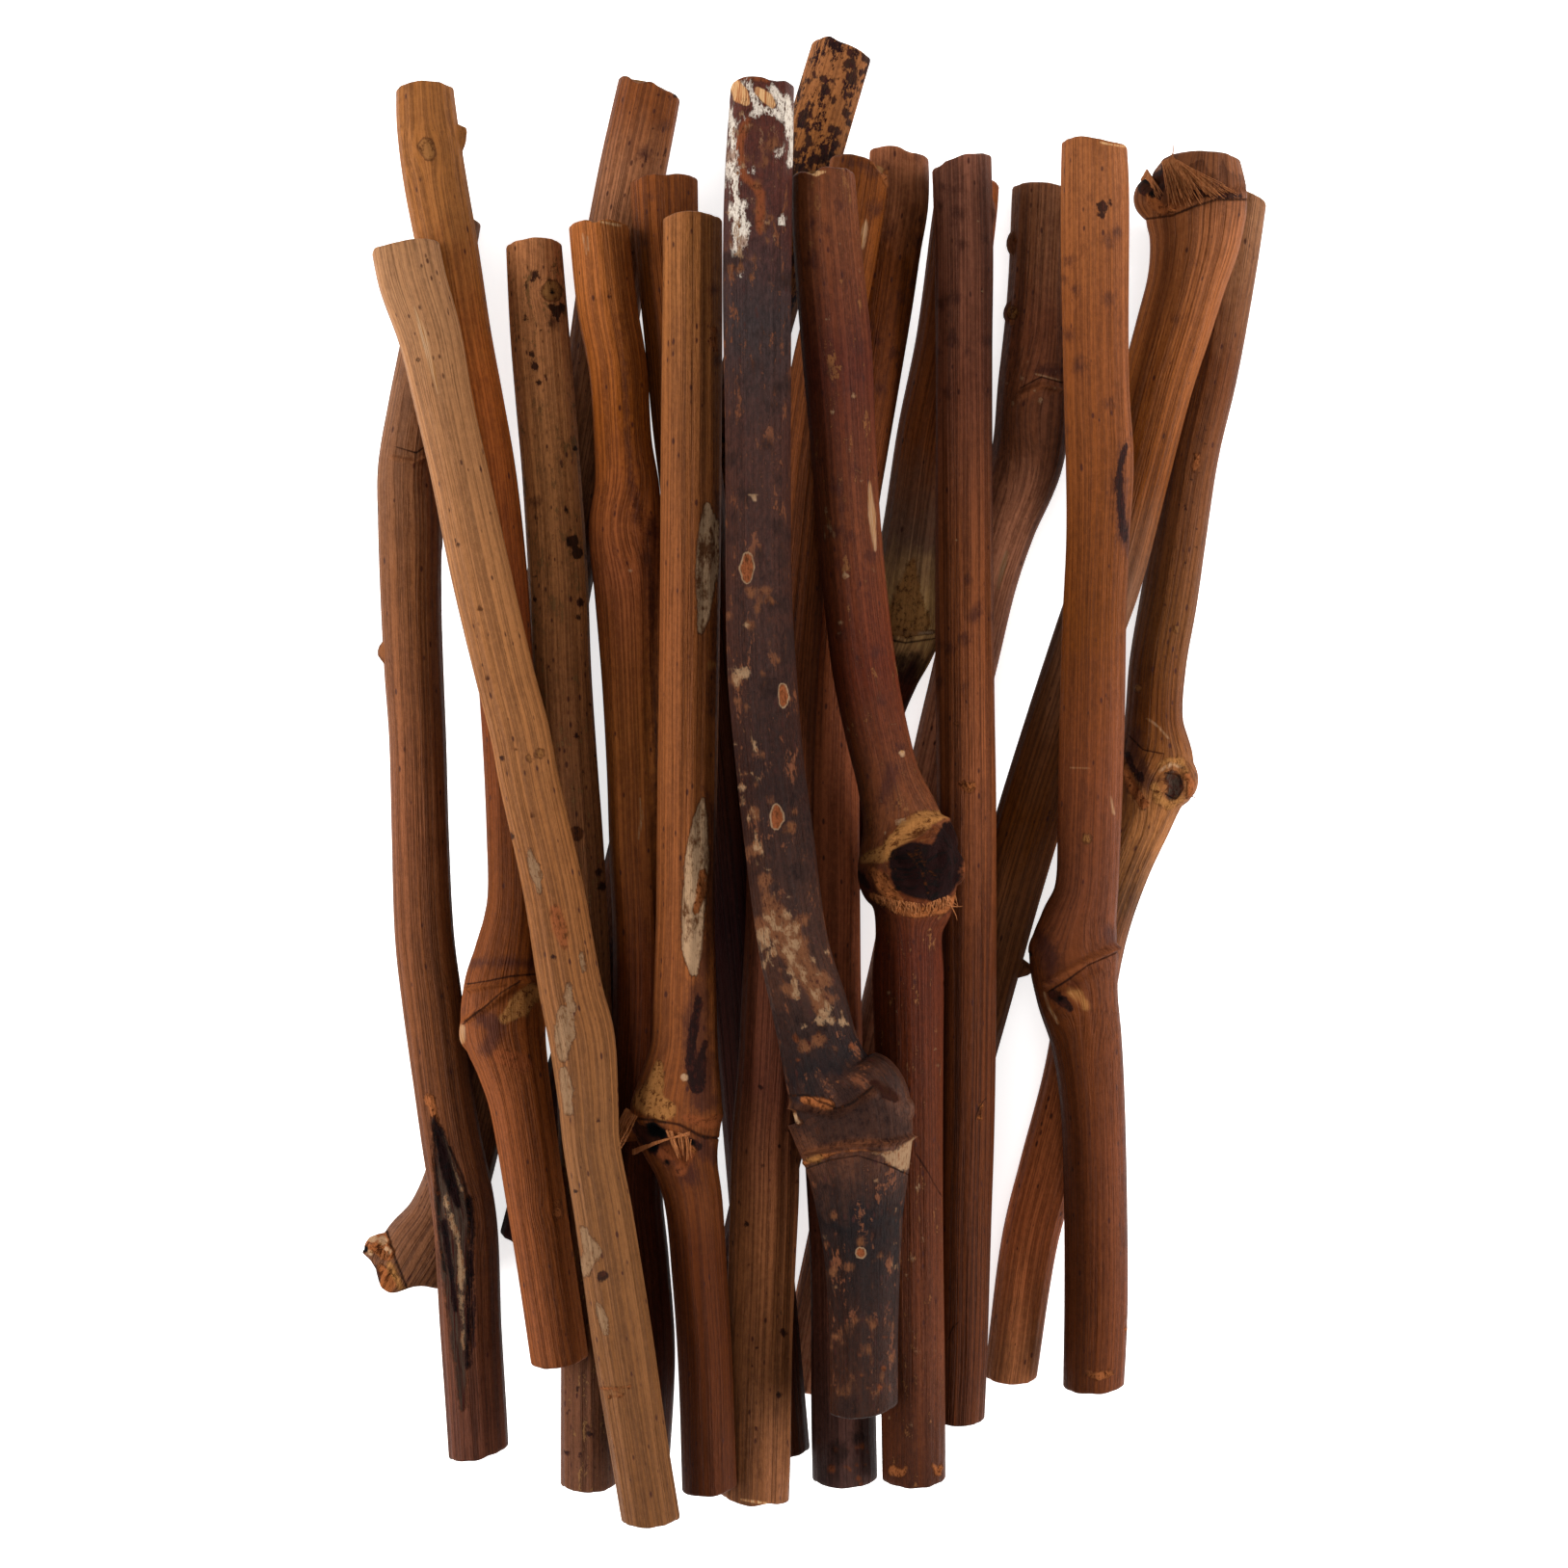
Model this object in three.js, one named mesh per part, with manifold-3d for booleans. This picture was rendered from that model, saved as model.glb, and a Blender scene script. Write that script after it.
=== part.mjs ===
// A loose bundle of nineteen cut vine twigs, laid flat in three rough layers.
// Millimetres, +Z up, +Y towards the top of the plan view, origin under the middle of the bundle.

import * as THREE from "three";
import { mergeVertices } from "three/addons/utils/BufferGeometryUtils.js";
import Module from "manifold-3d";

const wasm = await Module();
wasm.setup();

// Driving dimensions

// The length the twigs are cut to, and how many plan units that length covers.
const CUT_LENGTH = 200;
const CUT_LENGTH_UNITS = 1320;
const UNIT = CUT_LENGTH / CUT_LENGTH_UNITS;

// The plan was read from a point this high above the ground, so higher twigs look larger in it.
const EYE_HEIGHT = 900;
// The plan unit under that point, and the plan unit at the middle of the bundle.
const EYE = { x: 813.5, y: 813.5 };
const MIDDLE = { x: 845.5, y: 796.8 };

// Free space left between twigs that touch, and between the lowest twigs and the ground.
const GAP = 0.35;
// Saw cuts have a worn rim: how far it reaches along the twig, and how much thinner the end is.
const RIM = 0.7;
const END_SHARE = 0.86;
// A swelling is wider than it is deep: the share of its extra width that its depth has.
const DEPTH_SHARE = 0.4;
// Sides of a twig's section and rings along it.
const SIDES = 10;
const RINGS = 18;
// Sections of a twig that are tested against the twigs under it.
const FEELERS = 90;
// The plan's scale depends on the heights, and the heights on the plan, so both are found in turns.
const TURNS = 3;

// The twigs, in the order they were laid down.
// spine: [x, y, width] in plan units, from the top end to the bottom end.
// cuts: slant of the saw cuts at the top end and the bottom end, in plan units.
// lumps: [x, y, half length, half width, turn in degrees, height above the axis], in plan units.

const TWIGS = [
  {
    name: "far_right_knuckled_twig",
    colour: 0x8a5c36,
    cuts: [6, -6],
    spine: [
      [1286, 199, 58], [1272, 290, 58], [1255, 390, 57], [1237, 470, 56], [1224, 550, 56],
      [1212, 625, 58], [1201, 690, 58], [1197, 745, 60], [1198, 796, 80], [1186, 840, 68],
      [1162, 900, 60], [1138, 970, 60], [1112, 1115, 60], [1088, 1210, 60], [1069, 1285, 58],
      [1048, 1434, 55],
    ],
    lumps: [[1222, 812, 24, 20, 70, 8], [1174, 798, 26, 18, 40, 6]],
  },
  {
    name: "frayed_knob_twig",
    colour: 0x92643a,
    cuts: [-8, 0],
    spine: [
      [1247, 160, 80], [1243, 190, 100], [1240, 222, 104], [1239, 250, 94], [1231, 292, 81],
      [1218, 340, 78], [1202, 395, 75], [1175, 500, 72], [1149, 600, 71], [1129, 660, 70],
      [1099, 752, 70], [1072, 835, 69], [1042, 935, 68], [1011, 1055, 66], [960, 1240, 64],
      [904, 1450, 62],
    ],
    lumps: [[1197, 205, 24, 22, 80, 0], [1064, 1006, 9, 6, 20, 6]],
  },
  {
    name: "elbow_twig",
    colour: 0x6e4428,
    cuts: [4, 0],
    spine: [
      [1082, 192, 63], [1077, 300, 65], [1073, 395, 76], [1066, 475, 76], [1040, 545, 69],
      [1022, 600, 67], [1001, 690, 66], [981, 775, 64], [935, 1000, 64], [888, 1200, 62],
      [853, 1360, 62], [836, 1443, 61],
    ],
    lumps: [[1049, 252, 11, 6, 80, 8], [1047, 325, 10, 7, 80, 10]],
  },
  {
    name: "pale_knuckle_twig",
    colour: 0x7c5530,
    cuts: [0, 0],
    spine: [
      [1006, 183, 62], [1001, 225, 64], [984, 350, 64], [963, 450, 64], [950, 540, 66],
      [941, 610, 72], [936, 655, 77], [919, 700, 67], [905, 742, 62], [858, 938, 62],
      [838, 1036, 62], [800, 1200, 62], [742, 1448, 60],
    ],
    lumps: [],
  },
  {
    name: "charred_leaning_twig",
    colour: 0x6b4322,
    cuts: [0, 0],
    spine: [
      [875, 48, 62], [848, 140, 63], [822, 232, 62], [790, 345, 62], [735, 570, 62],
      [700, 720, 62], [664, 873, 62], [637, 980, 62], [605, 1090, 62], [572, 1200, 62],
      [546, 1292, 60],
    ],
    lumps: [],
  },
  {
    name: "hooked_twig",
    colour: 0x7d5030,
    cuts: [10, -12],
    spine: [
      [675, 86, 66], [656, 178, 69], [634, 297, 69], [622, 380, 69], [595, 530, 68],
      [578, 616, 68], [566, 700, 68], [557, 780, 68], [549, 860, 68], [541, 931, 68],
      [526, 1001, 68], [511, 1065, 68], [497, 1130, 68], [482, 1195, 68], [471, 1235, 71],
      [460, 1268, 82], [443, 1299, 96], [427, 1326, 92],
    ],
    lumps: [[394, 1297, 19, 15, 60, 8]],
  },
  {
    name: "tucked_brown_twig",
    colour: 0x6e4224,
    cuts: [0, 0],
    spine: [
      [689, 182, 68], [692, 250, 66], [701, 340, 66], [710, 436, 66], [719, 512, 66],
      [735, 680, 65], [745, 780, 64], [760, 940, 64], [775, 1100, 63], [790, 1280, 62],
      [803, 1430, 62], [810, 1511, 62],
    ],
    lumps: [],
  },
  {
    name: "left_russet_twig",
    colour: 0x764428,
    cuts: [0, -8],
    spine: [
      [471, 222, 58], [457, 300, 59], [442, 375, 60], [434, 420, 62], [425, 487, 66],
      [426, 540, 67], [427, 621, 63], [430, 701, 61], [433, 760, 59], [436, 867, 59],
      [441, 974, 61], [449, 1041, 62], [461, 1135, 60], [468, 1180, 61], [482, 1262, 65],
      [488, 1385, 63], [496, 1512, 62],
    ],
    lumps: [[397, 677, 8, 5, 90, 2]],
  },
  {
    name: "dark_red_twig",
    colour: 0x55301d,
    cuts: [8, 0],
    spine: [
      [934, 155, 60], [932, 211, 62], [924, 258, 62], [916, 313, 62], [902, 403, 62],
      [891, 468, 62], [881, 527, 62], [868, 640, 62], [861, 800, 63], [861, 940, 64],
      [861, 1036, 64], [865, 1150, 63], [872, 1300, 64], [875, 1450, 66], [877, 1541, 66],
    ],
    lumps: [],
  },
  {
    name: "amber_twig",
    colour: 0x8c4e20,
    cuts: [6, 0],
    spine: [
      [621, 229, 62], [631, 321, 63], [641, 380, 61], [646, 460, 60], [650, 505, 67],
      [649, 546, 76], [652, 621, 68], [655, 701, 61], [659, 800, 60], [661, 867, 60],
      [666, 974, 60], [666, 1055, 60], [661, 1150, 60], [657, 1232, 60], [663, 1311, 62],
      [668, 1403, 64], [660, 1537, 66],
    ],
    lumps: [],
  },
  {
    name: "speckled_twig",
    colour: 0x784e2a,
    cuts: [0, 0],
    spine: [
      [554, 249, 58], [560, 348, 61], [566, 420, 61], [572, 487, 60], [580, 594, 61],
      [584, 701, 61], [590, 800, 61], [595, 867, 61], [602, 974, 60], [607, 1100, 59],
      [610, 1250, 58], [611, 1400, 57], [611, 1546, 56],
    ],
    lumps: [],
  },
  {
    name: "ribbed_straight_twig",
    colour: 0x6e4028,
    cuts: [-14, 0],
    spine: [
      [998, 164, 61], [1000, 260, 61], [1000, 360, 60], [1001, 577, 60], [1002, 720, 60],
      [1003, 850, 61], [1002, 1050, 61], [1000, 1180, 61], [998, 1250, 61], [995, 1400, 59],
      [992, 1477, 58],
    ],
    lumps: [[1027, 222, 13, 6, 85, 2]],
  },
  {
    name: "right_bent_twig",
    colour: 0x8c5430,
    cuts: [6, -4],
    spine: [
      [1135, 144, 67], [1136, 200, 70], [1138, 400, 69], [1141, 480, 71], [1139, 560, 65],
      [1136, 640, 64], [1134, 750, 65], [1131, 850, 65], [1127, 925, 66], [1119, 958, 80],
      [1114, 990, 92], [1117, 1030, 85], [1127, 1080, 73], [1134, 1150, 66], [1137, 1250, 65],
      [1137, 1350, 65], [1134, 1444, 62],
    ],
    lumps: [[1082, 984, 15, 14, 60, 6]],
  },
  {
    name: "orange_knuckled_twig",
    colour: 0xa06030,
    cuts: [2, 0],
    spine: [
      [440, 87, 60], [443, 130, 64], [451, 187, 66], [466, 268, 64], [479, 348, 63],
      [493, 420, 62], [504, 487, 62], [516, 594, 60], [523, 680, 58], [529, 760, 58],
      [534, 860, 60], [535, 940, 62], [529, 988, 74], [523, 1025, 84], [522, 1065, 87],
      [531, 1105, 74], [539, 1140, 66], [558, 1262, 62], [582, 1417, 60],
    ],
    lumps: [[478, 146, 16, 9, 75, 2], [489, 1072, 16, 11, 80, 4]],
  },
  {
    name: "chipped_red_twig",
    colour: 0x73482a,
    cuts: [6, 6],
    spine: [
      [893, 165, 62], [888, 200, 64], [866, 325, 63], [852, 385, 62], [838, 470, 62],
      [826, 580, 63], [815, 700, 66], [810, 820, 68], [808, 940, 69], [803, 1035, 68],
      [799, 1112, 68], [794, 1188, 70], [793, 1240, 71], [790, 1329, 70], [787, 1400, 71],
      [784, 1508, 72], [783, 1560, 70],
    ],
    lumps: [],
  },
  {
    name: "scarred_knuckled_twig",
    colour: 0x96582f,
    cuts: [0, -4],
    spine: [
      [718, 222, 62], [718, 340, 62], [717, 512, 64], [716, 640, 64], [714, 793, 62],
      [712, 940, 61], [711, 1035, 67], [710, 1085, 71], [705, 1128, 88], [702, 1158, 97],
      [706, 1186, 82], [712, 1212, 66], [719, 1245, 60], [726, 1329, 57], [731, 1405, 57],
      [736, 1550, 57],
    ],
    lumps: [[654, 1170, 17, 8, 60, 6]],
  },
  {
    name: "heart_knot_twig",
    colour: 0x693720,
    cuts: [0, 0],
    spine: [
      [854, 176, 66], [857, 237, 70], [868, 360, 72], [874, 447, 67], [880, 533, 65],
      [888, 620, 66], [898, 700, 67], [911, 765, 66], [922, 808, 67], [935, 850, 82],
      [941, 884, 100], [943, 910, 104], [946, 938, 86], [943, 965, 68], [942, 1010, 72],
      [943, 1100, 70], [945, 1250, 68], [947, 1400, 66], [948, 1541, 65],
    ],
    lumps: [[958, 896, 40, 31, 80, 22]],
  },
  {
    name: "dark_bark_twig",
    colour: 0x4a3630,
    cuts: [0, -10],
    spine: [
      [791, 82, 66], [787, 193, 70], [786, 300, 71], [787, 450, 69], [788, 620, 68],
      [791, 700, 70], [798, 787, 69], [808, 873, 71], [823, 982, 72], [840, 1045, 78],
      [850, 1085, 81], [860, 1115, 92], [878, 1142, 128], [886, 1172, 124], [891, 1212, 106],
      [893, 1257, 89], [895, 1300, 79], [896, 1380, 71], [896, 1468, 70],
    ],
    lumps: [[934, 1152, 17, 17, 0, 8]],
  },
  {
    name: "slanted_tan_twig",
    colour: 0x9b6842,
    cuts: [0, 6],
    spine: [
      [420, 252, 70], [428, 290, 70], [446, 348, 65], [461, 420, 60], [476, 487, 59],
      [499, 594, 61], [524, 701, 61], [539, 760, 62], [549, 814, 62], [573, 921, 62],
      [592, 1028, 64], [603, 1075, 67], [610, 1140, 62], [613, 1185, 59], [626, 1262, 62],
      [645, 1385, 64], [664, 1507, 60], [676, 1582, 60],
    ],
    lumps: [],
  },
];

// Plan units to millimetres, for something that lies at a given height

function scaleAt(height) {
  return UNIT * (1 - height / EYE_HEIGHT);
}

function place(x, y, height) {
  const scale = scaleAt(height);
  return {
    x: (EYE.x - MIDDLE.x) * UNIT + (x - EYE.x) * scale,
    y: (MIDDLE.y - EYE.y) * UNIT + (EYE.y - y) * scale,
  };
}

// How far along the twig a plan point lies: 0 at the top end, 1 at the bottom end

function shareAlong(twig, y) {
  const first = twig.spine[0][1];
  const last = twig.spine[twig.spine.length - 1][1];
  return THREE.MathUtils.clamp((y - first) / (last - first), 0, 1);
}

function heightAt(twig, share) {
  return twig.top + twig.slope * share;
}

// The axis and width of a twig: plan curves with the width as their third value

function sectionAt(twig, t) {
  const { x, y, z } = twig.curve.getPoint(t);
  const share = shareAlong(twig, y);
  const height = heightAt(twig, share);
  const spot = place(x, y, height);
  return { x: spot.x, y: spot.y, share, height, width: z * scaleAt(height) };
}

// A swelling is wider than the rest of its twig, and less deep than it is wide

function halfDepth(twig, width) {
  const usual = twig.usualWidth * scaleAt(heightAt(twig, 0.5));
  return (Math.min(width, usual) + Math.max(0, width - usual) * DEPTH_SHARE) / 2;
}

// Ellipses that stand for a twig when it is laid down: its sections, and its lumps

function feelers(twig) {
  const list = [];
  for (let i = 0; i <= FEELERS; i += 1) {
    const section = sectionAt(twig, i / FEELERS);
    list.push({
      x: section.x,
      y: section.y,
      share: section.share,
      lift: 0,
      wide: section.width / 2,
      deep: halfDepth(twig, section.width),
    });
  }
  for (const [x, y, long, , , lift] of twig.lumps) {
    const share = shareAlong(twig, y);
    const height = heightAt(twig, share);
    const spot = place(x, y, height);
    const reach = long * scaleAt(height);
    list.push({
      x: spot.x,
      y: spot.y,
      share,
      lift: lift * scaleAt(height),
      wide: reach,
      deep: reach,
    });
  }
  return list;
}

// The lowest height at which one ellipse clears another that lies under it

function clearance(over, under) {
  const apart = Math.hypot(over.x - under.x, over.y - under.y) / (over.wide + under.wide + GAP);
  if (apart >= 1) {
    return -Infinity;
  }
  return under.z + (over.deep + under.deep + GAP) * Math.sqrt(1 - apart * apart);
}

// Lays a twig on the ground and the twigs already there, as low as its middle can go:
// it touches at one place on each side of its middle, and is straight between them.

function lay(twig, laid) {
  const own = feelers(twig);
  const touches = own.map((feeler) => {
    let height = feeler.deep;
    for (const other of laid) {
      height = Math.max(height, clearance(feeler, other));
    }
    return { share: feeler.share, height: height - feeler.lift };
  });
  const before = touches.filter((touch) => touch.share <= 0.5);
  const after = touches.filter((touch) => touch.share > 0.5);
  let best = { height: -Infinity };
  for (const a of before) {
    for (const b of after) {
      const slope = (b.height - a.height) / (b.share - a.share);
      const height = a.height + slope * (0.5 - a.share);
      if (height > best.height) {
        best = { height, slope };
      }
    }
  }
  twig.top = best.height - best.slope * 0.5;
  twig.slope = best.slope;
  for (const feeler of own) {
    laid.push({ ...feeler, z: heightAt(twig, feeler.share) + feeler.lift });
  }
}

// A closed cylinder bent along the axis, ring by ring, with worn rims at its saw cuts

function bentRod(twig) {
  const rimShare = RIM / CUT_LENGTH;
  const steps = [0, rimShare];
  for (let i = 1; i < RINGS; i += 1) {
    steps.push(i / RINGS);
  }
  steps.push(1 - rimShare, 1);
  const rings = steps.map((t, index) => {
    const section = sectionAt(twig, t);
    const ahead = twig.curve.getTangent(t);
    const along = new THREE.Vector3(ahead.x, -ahead.y, 0).normalize();
    const atEnd = index === 0 || index === steps.length - 1;
    const nearEnd = index <= 1 || index >= steps.length - 2;
    const shrink = atEnd ? END_SHARE : 1;
    const cut = t < 0.5 ? twig.cuts[0] : twig.cuts[1];
    return {
      middle: new THREE.Vector3(section.x, section.y, section.height),
      along,
      across: new THREE.Vector3(0, 0, 1).cross(along),
      wide: (section.width / 2) * shrink,
      deep: halfDepth(twig, section.width) * shrink,
      slant: nearEnd ? cut / twig.usualWidth : 0,
    };
  });
  const rod = new THREE.CylinderGeometry(1, 1, 1, SIDES, rings.length - 1);
  const position = rod.attributes.position;
  for (let i = 0; i < position.count; i += 1) {
    const ring = rings[Math.round((0.5 - position.getY(i)) * (rings.length - 1))];
    const sideways = position.getX(i) * ring.wide;
    const spot = ring.middle
      .clone()
      .addScaledVector(ring.across, sideways)
      .addScaledVector(ring.along, sideways * ring.slant);
    position.setXYZ(i, spot.x, spot.y, spot.z + position.getZ(i) * ring.deep);
  }
  return rod;
}

// A bud, stub or knot: a squashed ball set into the side of a twig

function lumpBall(twig, [x, y, long, wide, turn, lift]) {
  const height = heightAt(twig, shareAlong(twig, y));
  const scale = scaleAt(height);
  const spot = place(x, y, height);
  const ball = new THREE.SphereGeometry(1, 8, 6);
  ball.scale(long * scale, wide * scale, wide * scale);
  ball.rotateZ(THREE.MathUtils.degToRad(turn));
  ball.translate(spot.x, spot.y, height + lift * scale);
  return ball;
}

// Closed meshes to solids and back, to fuse the lumps into the rod

function toSolid(geometry) {
  geometry.deleteAttribute("normal");
  geometry.deleteAttribute("uv");
  const merged = mergeVertices(geometry, 1e-4);
  return new wasm.Manifold(
    new wasm.Mesh({
      numProp: 3,
      vertProperties: new Float32Array(merged.attributes.position.array),
      triVerts: new Uint32Array(merged.index.array),
    }),
  );
}

function toGeometry(solid) {
  const mesh = solid.getMesh();
  const geometry = new THREE.BufferGeometry();
  geometry.setAttribute("position", new THREE.BufferAttribute(mesh.vertProperties, 3));
  geometry.setIndex(new THREE.BufferAttribute(mesh.triVerts, 1));
  geometry.computeVertexNormals();
  return geometry;
}

function twigMesh(twig) {
  let solid = toSolid(bentRod(twig));
  for (const lump of twig.lumps) {
    solid = solid.add(toSolid(lumpBall(twig, lump)));
  }
  const material = new THREE.MeshStandardMaterial({
    color: twig.colour,
    roughness: 0.7,
    metalness: 0,
  });
  const mesh = new THREE.Mesh(toGeometry(solid), material);
  mesh.name = twig.name;
  return mesh;
}

// The bundle: each twig is laid on those before it, and built where it lies

for (const twig of TWIGS) {
  const points = twig.spine.map((point) => new THREE.Vector3(...point));
  const widths = twig.spine.map((point) => point[2]).sort((a, b) => a - b);
  twig.curve = new THREE.CatmullRomCurve3(points, false, "centripetal");
  twig.usualWidth = widths[Math.floor(widths.length / 3)];
  twig.top = 0;
  twig.slope = 0;
}
for (let turn = 0; turn < TURNS; turn += 1) {
  const laid = [];
  TWIGS.forEach((twig) => lay(twig, laid));
}

const group = new THREE.Group();
TWIGS.forEach((twig) => group.add(twigMesh(twig)));

export default group;
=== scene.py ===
"""A loose bundle of nineteen dry vine twigs on a pale floor.

Each twig is a straight stick that is bent along its own run and then knuckled, scarred, torn
and chipped. Places on a twig are given in the units of the plan that the bundle is laid out by.
"""

import math
import random
from dataclasses import dataclass

import bpy
import numpy as np
from bpy.props import FloatProperty, FloatVectorProperty, IntProperty, PointerProperty
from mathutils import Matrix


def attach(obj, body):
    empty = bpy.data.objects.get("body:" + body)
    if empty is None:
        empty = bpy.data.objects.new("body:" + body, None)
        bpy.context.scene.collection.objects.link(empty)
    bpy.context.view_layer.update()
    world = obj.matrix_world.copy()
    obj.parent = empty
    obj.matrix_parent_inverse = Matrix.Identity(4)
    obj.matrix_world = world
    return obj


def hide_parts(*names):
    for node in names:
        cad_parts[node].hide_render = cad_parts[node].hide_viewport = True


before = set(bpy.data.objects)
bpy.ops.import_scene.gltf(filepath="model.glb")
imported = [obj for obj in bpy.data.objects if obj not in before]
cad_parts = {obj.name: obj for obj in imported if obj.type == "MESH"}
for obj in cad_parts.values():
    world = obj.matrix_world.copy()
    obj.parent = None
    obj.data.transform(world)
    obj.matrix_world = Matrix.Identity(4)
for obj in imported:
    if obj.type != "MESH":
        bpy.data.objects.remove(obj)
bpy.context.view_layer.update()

bl_info = {
    "name": "Bundle of Twigs",
    "version": (1, 0, 0),
    "blender": (4, 5, 0),
    "location": "3D View > Sidebar > Twigs",
    "description": "Models a loose bundle of dry vine twigs with bark, knuckles, scars and torn fibres",
    "category": "Add Mesh",
}

# The plan: how many units the length of a cut twig covers, the point it is seen from, its middle
CUT_LENGTH = 0.200
CUT_LENGTH_UNITS = 1320
UNIT = CUT_LENGTH / CUT_LENGTH_UNITS
EYE_HEIGHT = 0.900
EYE = (813.5, 813.5)
MIDDLE = (845.5, 796.8)
PLAN_WIDTH = 1627

# A swelling is wider than it is deep: the share of its extra width that its depth has
DEPTH_SHARE = 0.4
# Worn rims at the saw cuts: how much thinner the end is
END_SHARE = 0.92
MM = 0.001
# Half the width of a thin crease, painted dark as the shade inside it, in millimetres
LINE_HALF = 0.15
# The stage's light on a twig's crest, as a share of what makes white paper white, and its sheen
CREST_LIGHT = 1.6
SHEEN = 0.01
# Dry wood shines less than varnish
SPECULAR = 0.07
# How the wood's own colour changes in its grooves, in its darker patches and on its worn ribs
GROOVE = (0.36, 0.32, 0.3)
PATCH = (0.52, 0.48, 0.46)
LIGHT = (1.5, 1.52, 1.5)
# The grain's noises: how many of their cells a millimetre has across, across and along the stick
RIBS = (2.9, 2.9, 0.013)
FIBRE = (4.6, 4.6, 0.15)
BROAD = (0.6, 0.6, 0.014)
CLOUD = (0.45, 0.45, 0.2)
GRIT = (1.7, 1.7, 1.0)
SPECKS = (1.1, 1.1, 0.5)
# Where a noise's value starts to count, and where it counts in full
IN_GROOVE = (0.51, 0.58)
ON_RIB = (0.4, 0.47)
IN_BROAD_GROOVE = (0.5, 0.68)
IN_PATCH = (0.47, 0.64)
IN_FIBRE_GROOVE = (0.52, 0.7)
ON_FIBRE = (0.34, 0.56)
DARK_GRIT = (0.49, 0.62)
LIGHT_GRIT = (0.38, 0.48)
# How closely rows crowd at the saw cuts, at the knuckles and near the rings, how many millimetres
# from a saw cut they do, and how many plan units from a ring
END_CROWD = 7
KNUCKLE_CROWD = 1.2
RING_CROWD = 2.2
CROWD_FROM_END = 0.9
CROWD_FROM_RING = 24
# How many millimetres a saw cut's slant and its rim reach along the twig, and how rough the cut is
SLANT_REACH = 3
RIM_REACH = 1.2
CUT_ROUGHNESS = 0.06
# How many marks of each kind the underside repeats at most
MARKS_BELOW = 3
FLOOR_SPECULAR = 0.1
# How many rows a stick is first cut into, before each is cut again
FIRST_ROWS = 20
# Millimetres inside or outside a mark beyond which it makes no difference
DEEPEST = 5
FARTHEST = -4.0


def rgb(red, green, blue):
    """A colour from 0 to 255, as screens show it, made a linear one from 0 to 1."""
    shown = (value / 255 for value in (red, green, blue))
    return tuple(v / 12.92 if v <= 0.04045 else ((v + 0.055) / 1.055) ** 2.4 for v in shown)


def seen(red, green, blue):
    """The colour of wood that looks like this on its crest, from 0 to 255, in the stage's light."""
    return tuple(max(value - SHEEN, 0.001) / CREST_LIGHT for value in rgb(red, green, blue))


def colour(name, description, default):
    """A colour that a user can change."""
    return FloatVectorProperty(
        name=name, description=description, default=default, subtype="COLOR", size=3, min=0, max=1
    )


def length(name, description, default):
    """A length that a user can change, in metres."""
    return FloatProperty(
        name=name, description=description, default=default, unit="LENGTH", subtype="DISTANCE", precision=5
    )


class TwigSizes(bpy.types.PropertyGroup):
    """How finely the twigs are modelled, and how deep their relief is"""

    sides: IntProperty(name="Sides", description="Faces round a twig", default=76)
    rows: IntProperty(name="Rows", description="Faces along a twig, as a multiple of 20", default=320)
    cap_rings: IntProperty(name="Cap rings", description="Rings of faces on a saw cut", default=4)
    rim: length("Rim", "How far the worn rim of a saw cut reaches along the twig", 0.0005)
    arch: length("Arch", "How far a saw cut's sides lie behind its middle", 0.0008)
    wobble: length("Wobble", "Slow unevenness of a twig's side", 0.00012)
    ribs: length("Ribs", "Height of the ribs along a twig", 0.00007)
    melt: length("Melt", "How softly a bud or knot runs into its twig", 0.0012)


class TwigColours(bpy.types.PropertyGroup):
    """Colours that the twigs have in common"""

    stain: colour("Stain", "Purple-brown bruises", seen(62, 36, 32))
    # Near-black: real blotches, and also painted shadow in a gap by the dark bark twig's knuckle, below the
    # right bent twig's ridge and in the scarred twig's hollow
    blotch: colour("Blotch", "Near-black blotches", seen(34, 24, 21))
    scar: colour("Scar", "Pale weathered scars", seen(184, 148, 114))
    scar_dark: colour("Scar, dark", "Brown parts of the weathered scars", seen(104, 68, 46))
    patch: colour("Patch", "Tan scraped patches", seen(164, 112, 64))
    torn: colour("Torn wood", "Torn fibrous wood", seen(156, 92, 54))
    torn_deep: colour("Torn wood, deep", "Torn wood between its fibres", seen(74, 42, 26))
    frayed: colour("Frayed fibres", "Loose fibres that stand off the wood", seen(178, 114, 72))
    weathered: colour("Weathered wood", "Grey weathered wood", seen(70, 58, 50))
    # Dark grey: grey bark, and also painted shadow below the pale knuckle twig's knuckle
    soot: colour("Soot", "Grey dark bark", seen(48, 36, 33))
    char: colour("Char", "Black burnt heartwood", seen(36, 25, 22))
    bark_brown: colour("Brown bark", "Brown patches where the dark bark is thin", seen(122, 78, 52))
    rust: colour("Rust", "Rusty patches", seen(136, 74, 44))
    crust: colour("Crust", "Grey crusts", seen(156, 124, 94))
    crust_dark: colour("Crust, dark", "Parts where the crusts are thin", seen(118, 84, 58))
    chip: colour("Chip", "Fresh wood where a rim is chipped", seen(214, 170, 120))
    lichen: colour("Lichen", "White lichen", seen(226, 212, 196))
    # Painted shade: near-black inside hollows, cracks and thin creases, where little light gets in; the
    # char marks also use it in their grain
    hole: colour("Hollow", "Dark hollows and cracks", seen(20, 14, 12))
    cut: colour("Saw cut", "End grain", seen(164, 116, 74))
    pith: colour("Pith", "Pith and pores in the end grain", seen(108, 70, 42))


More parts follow.
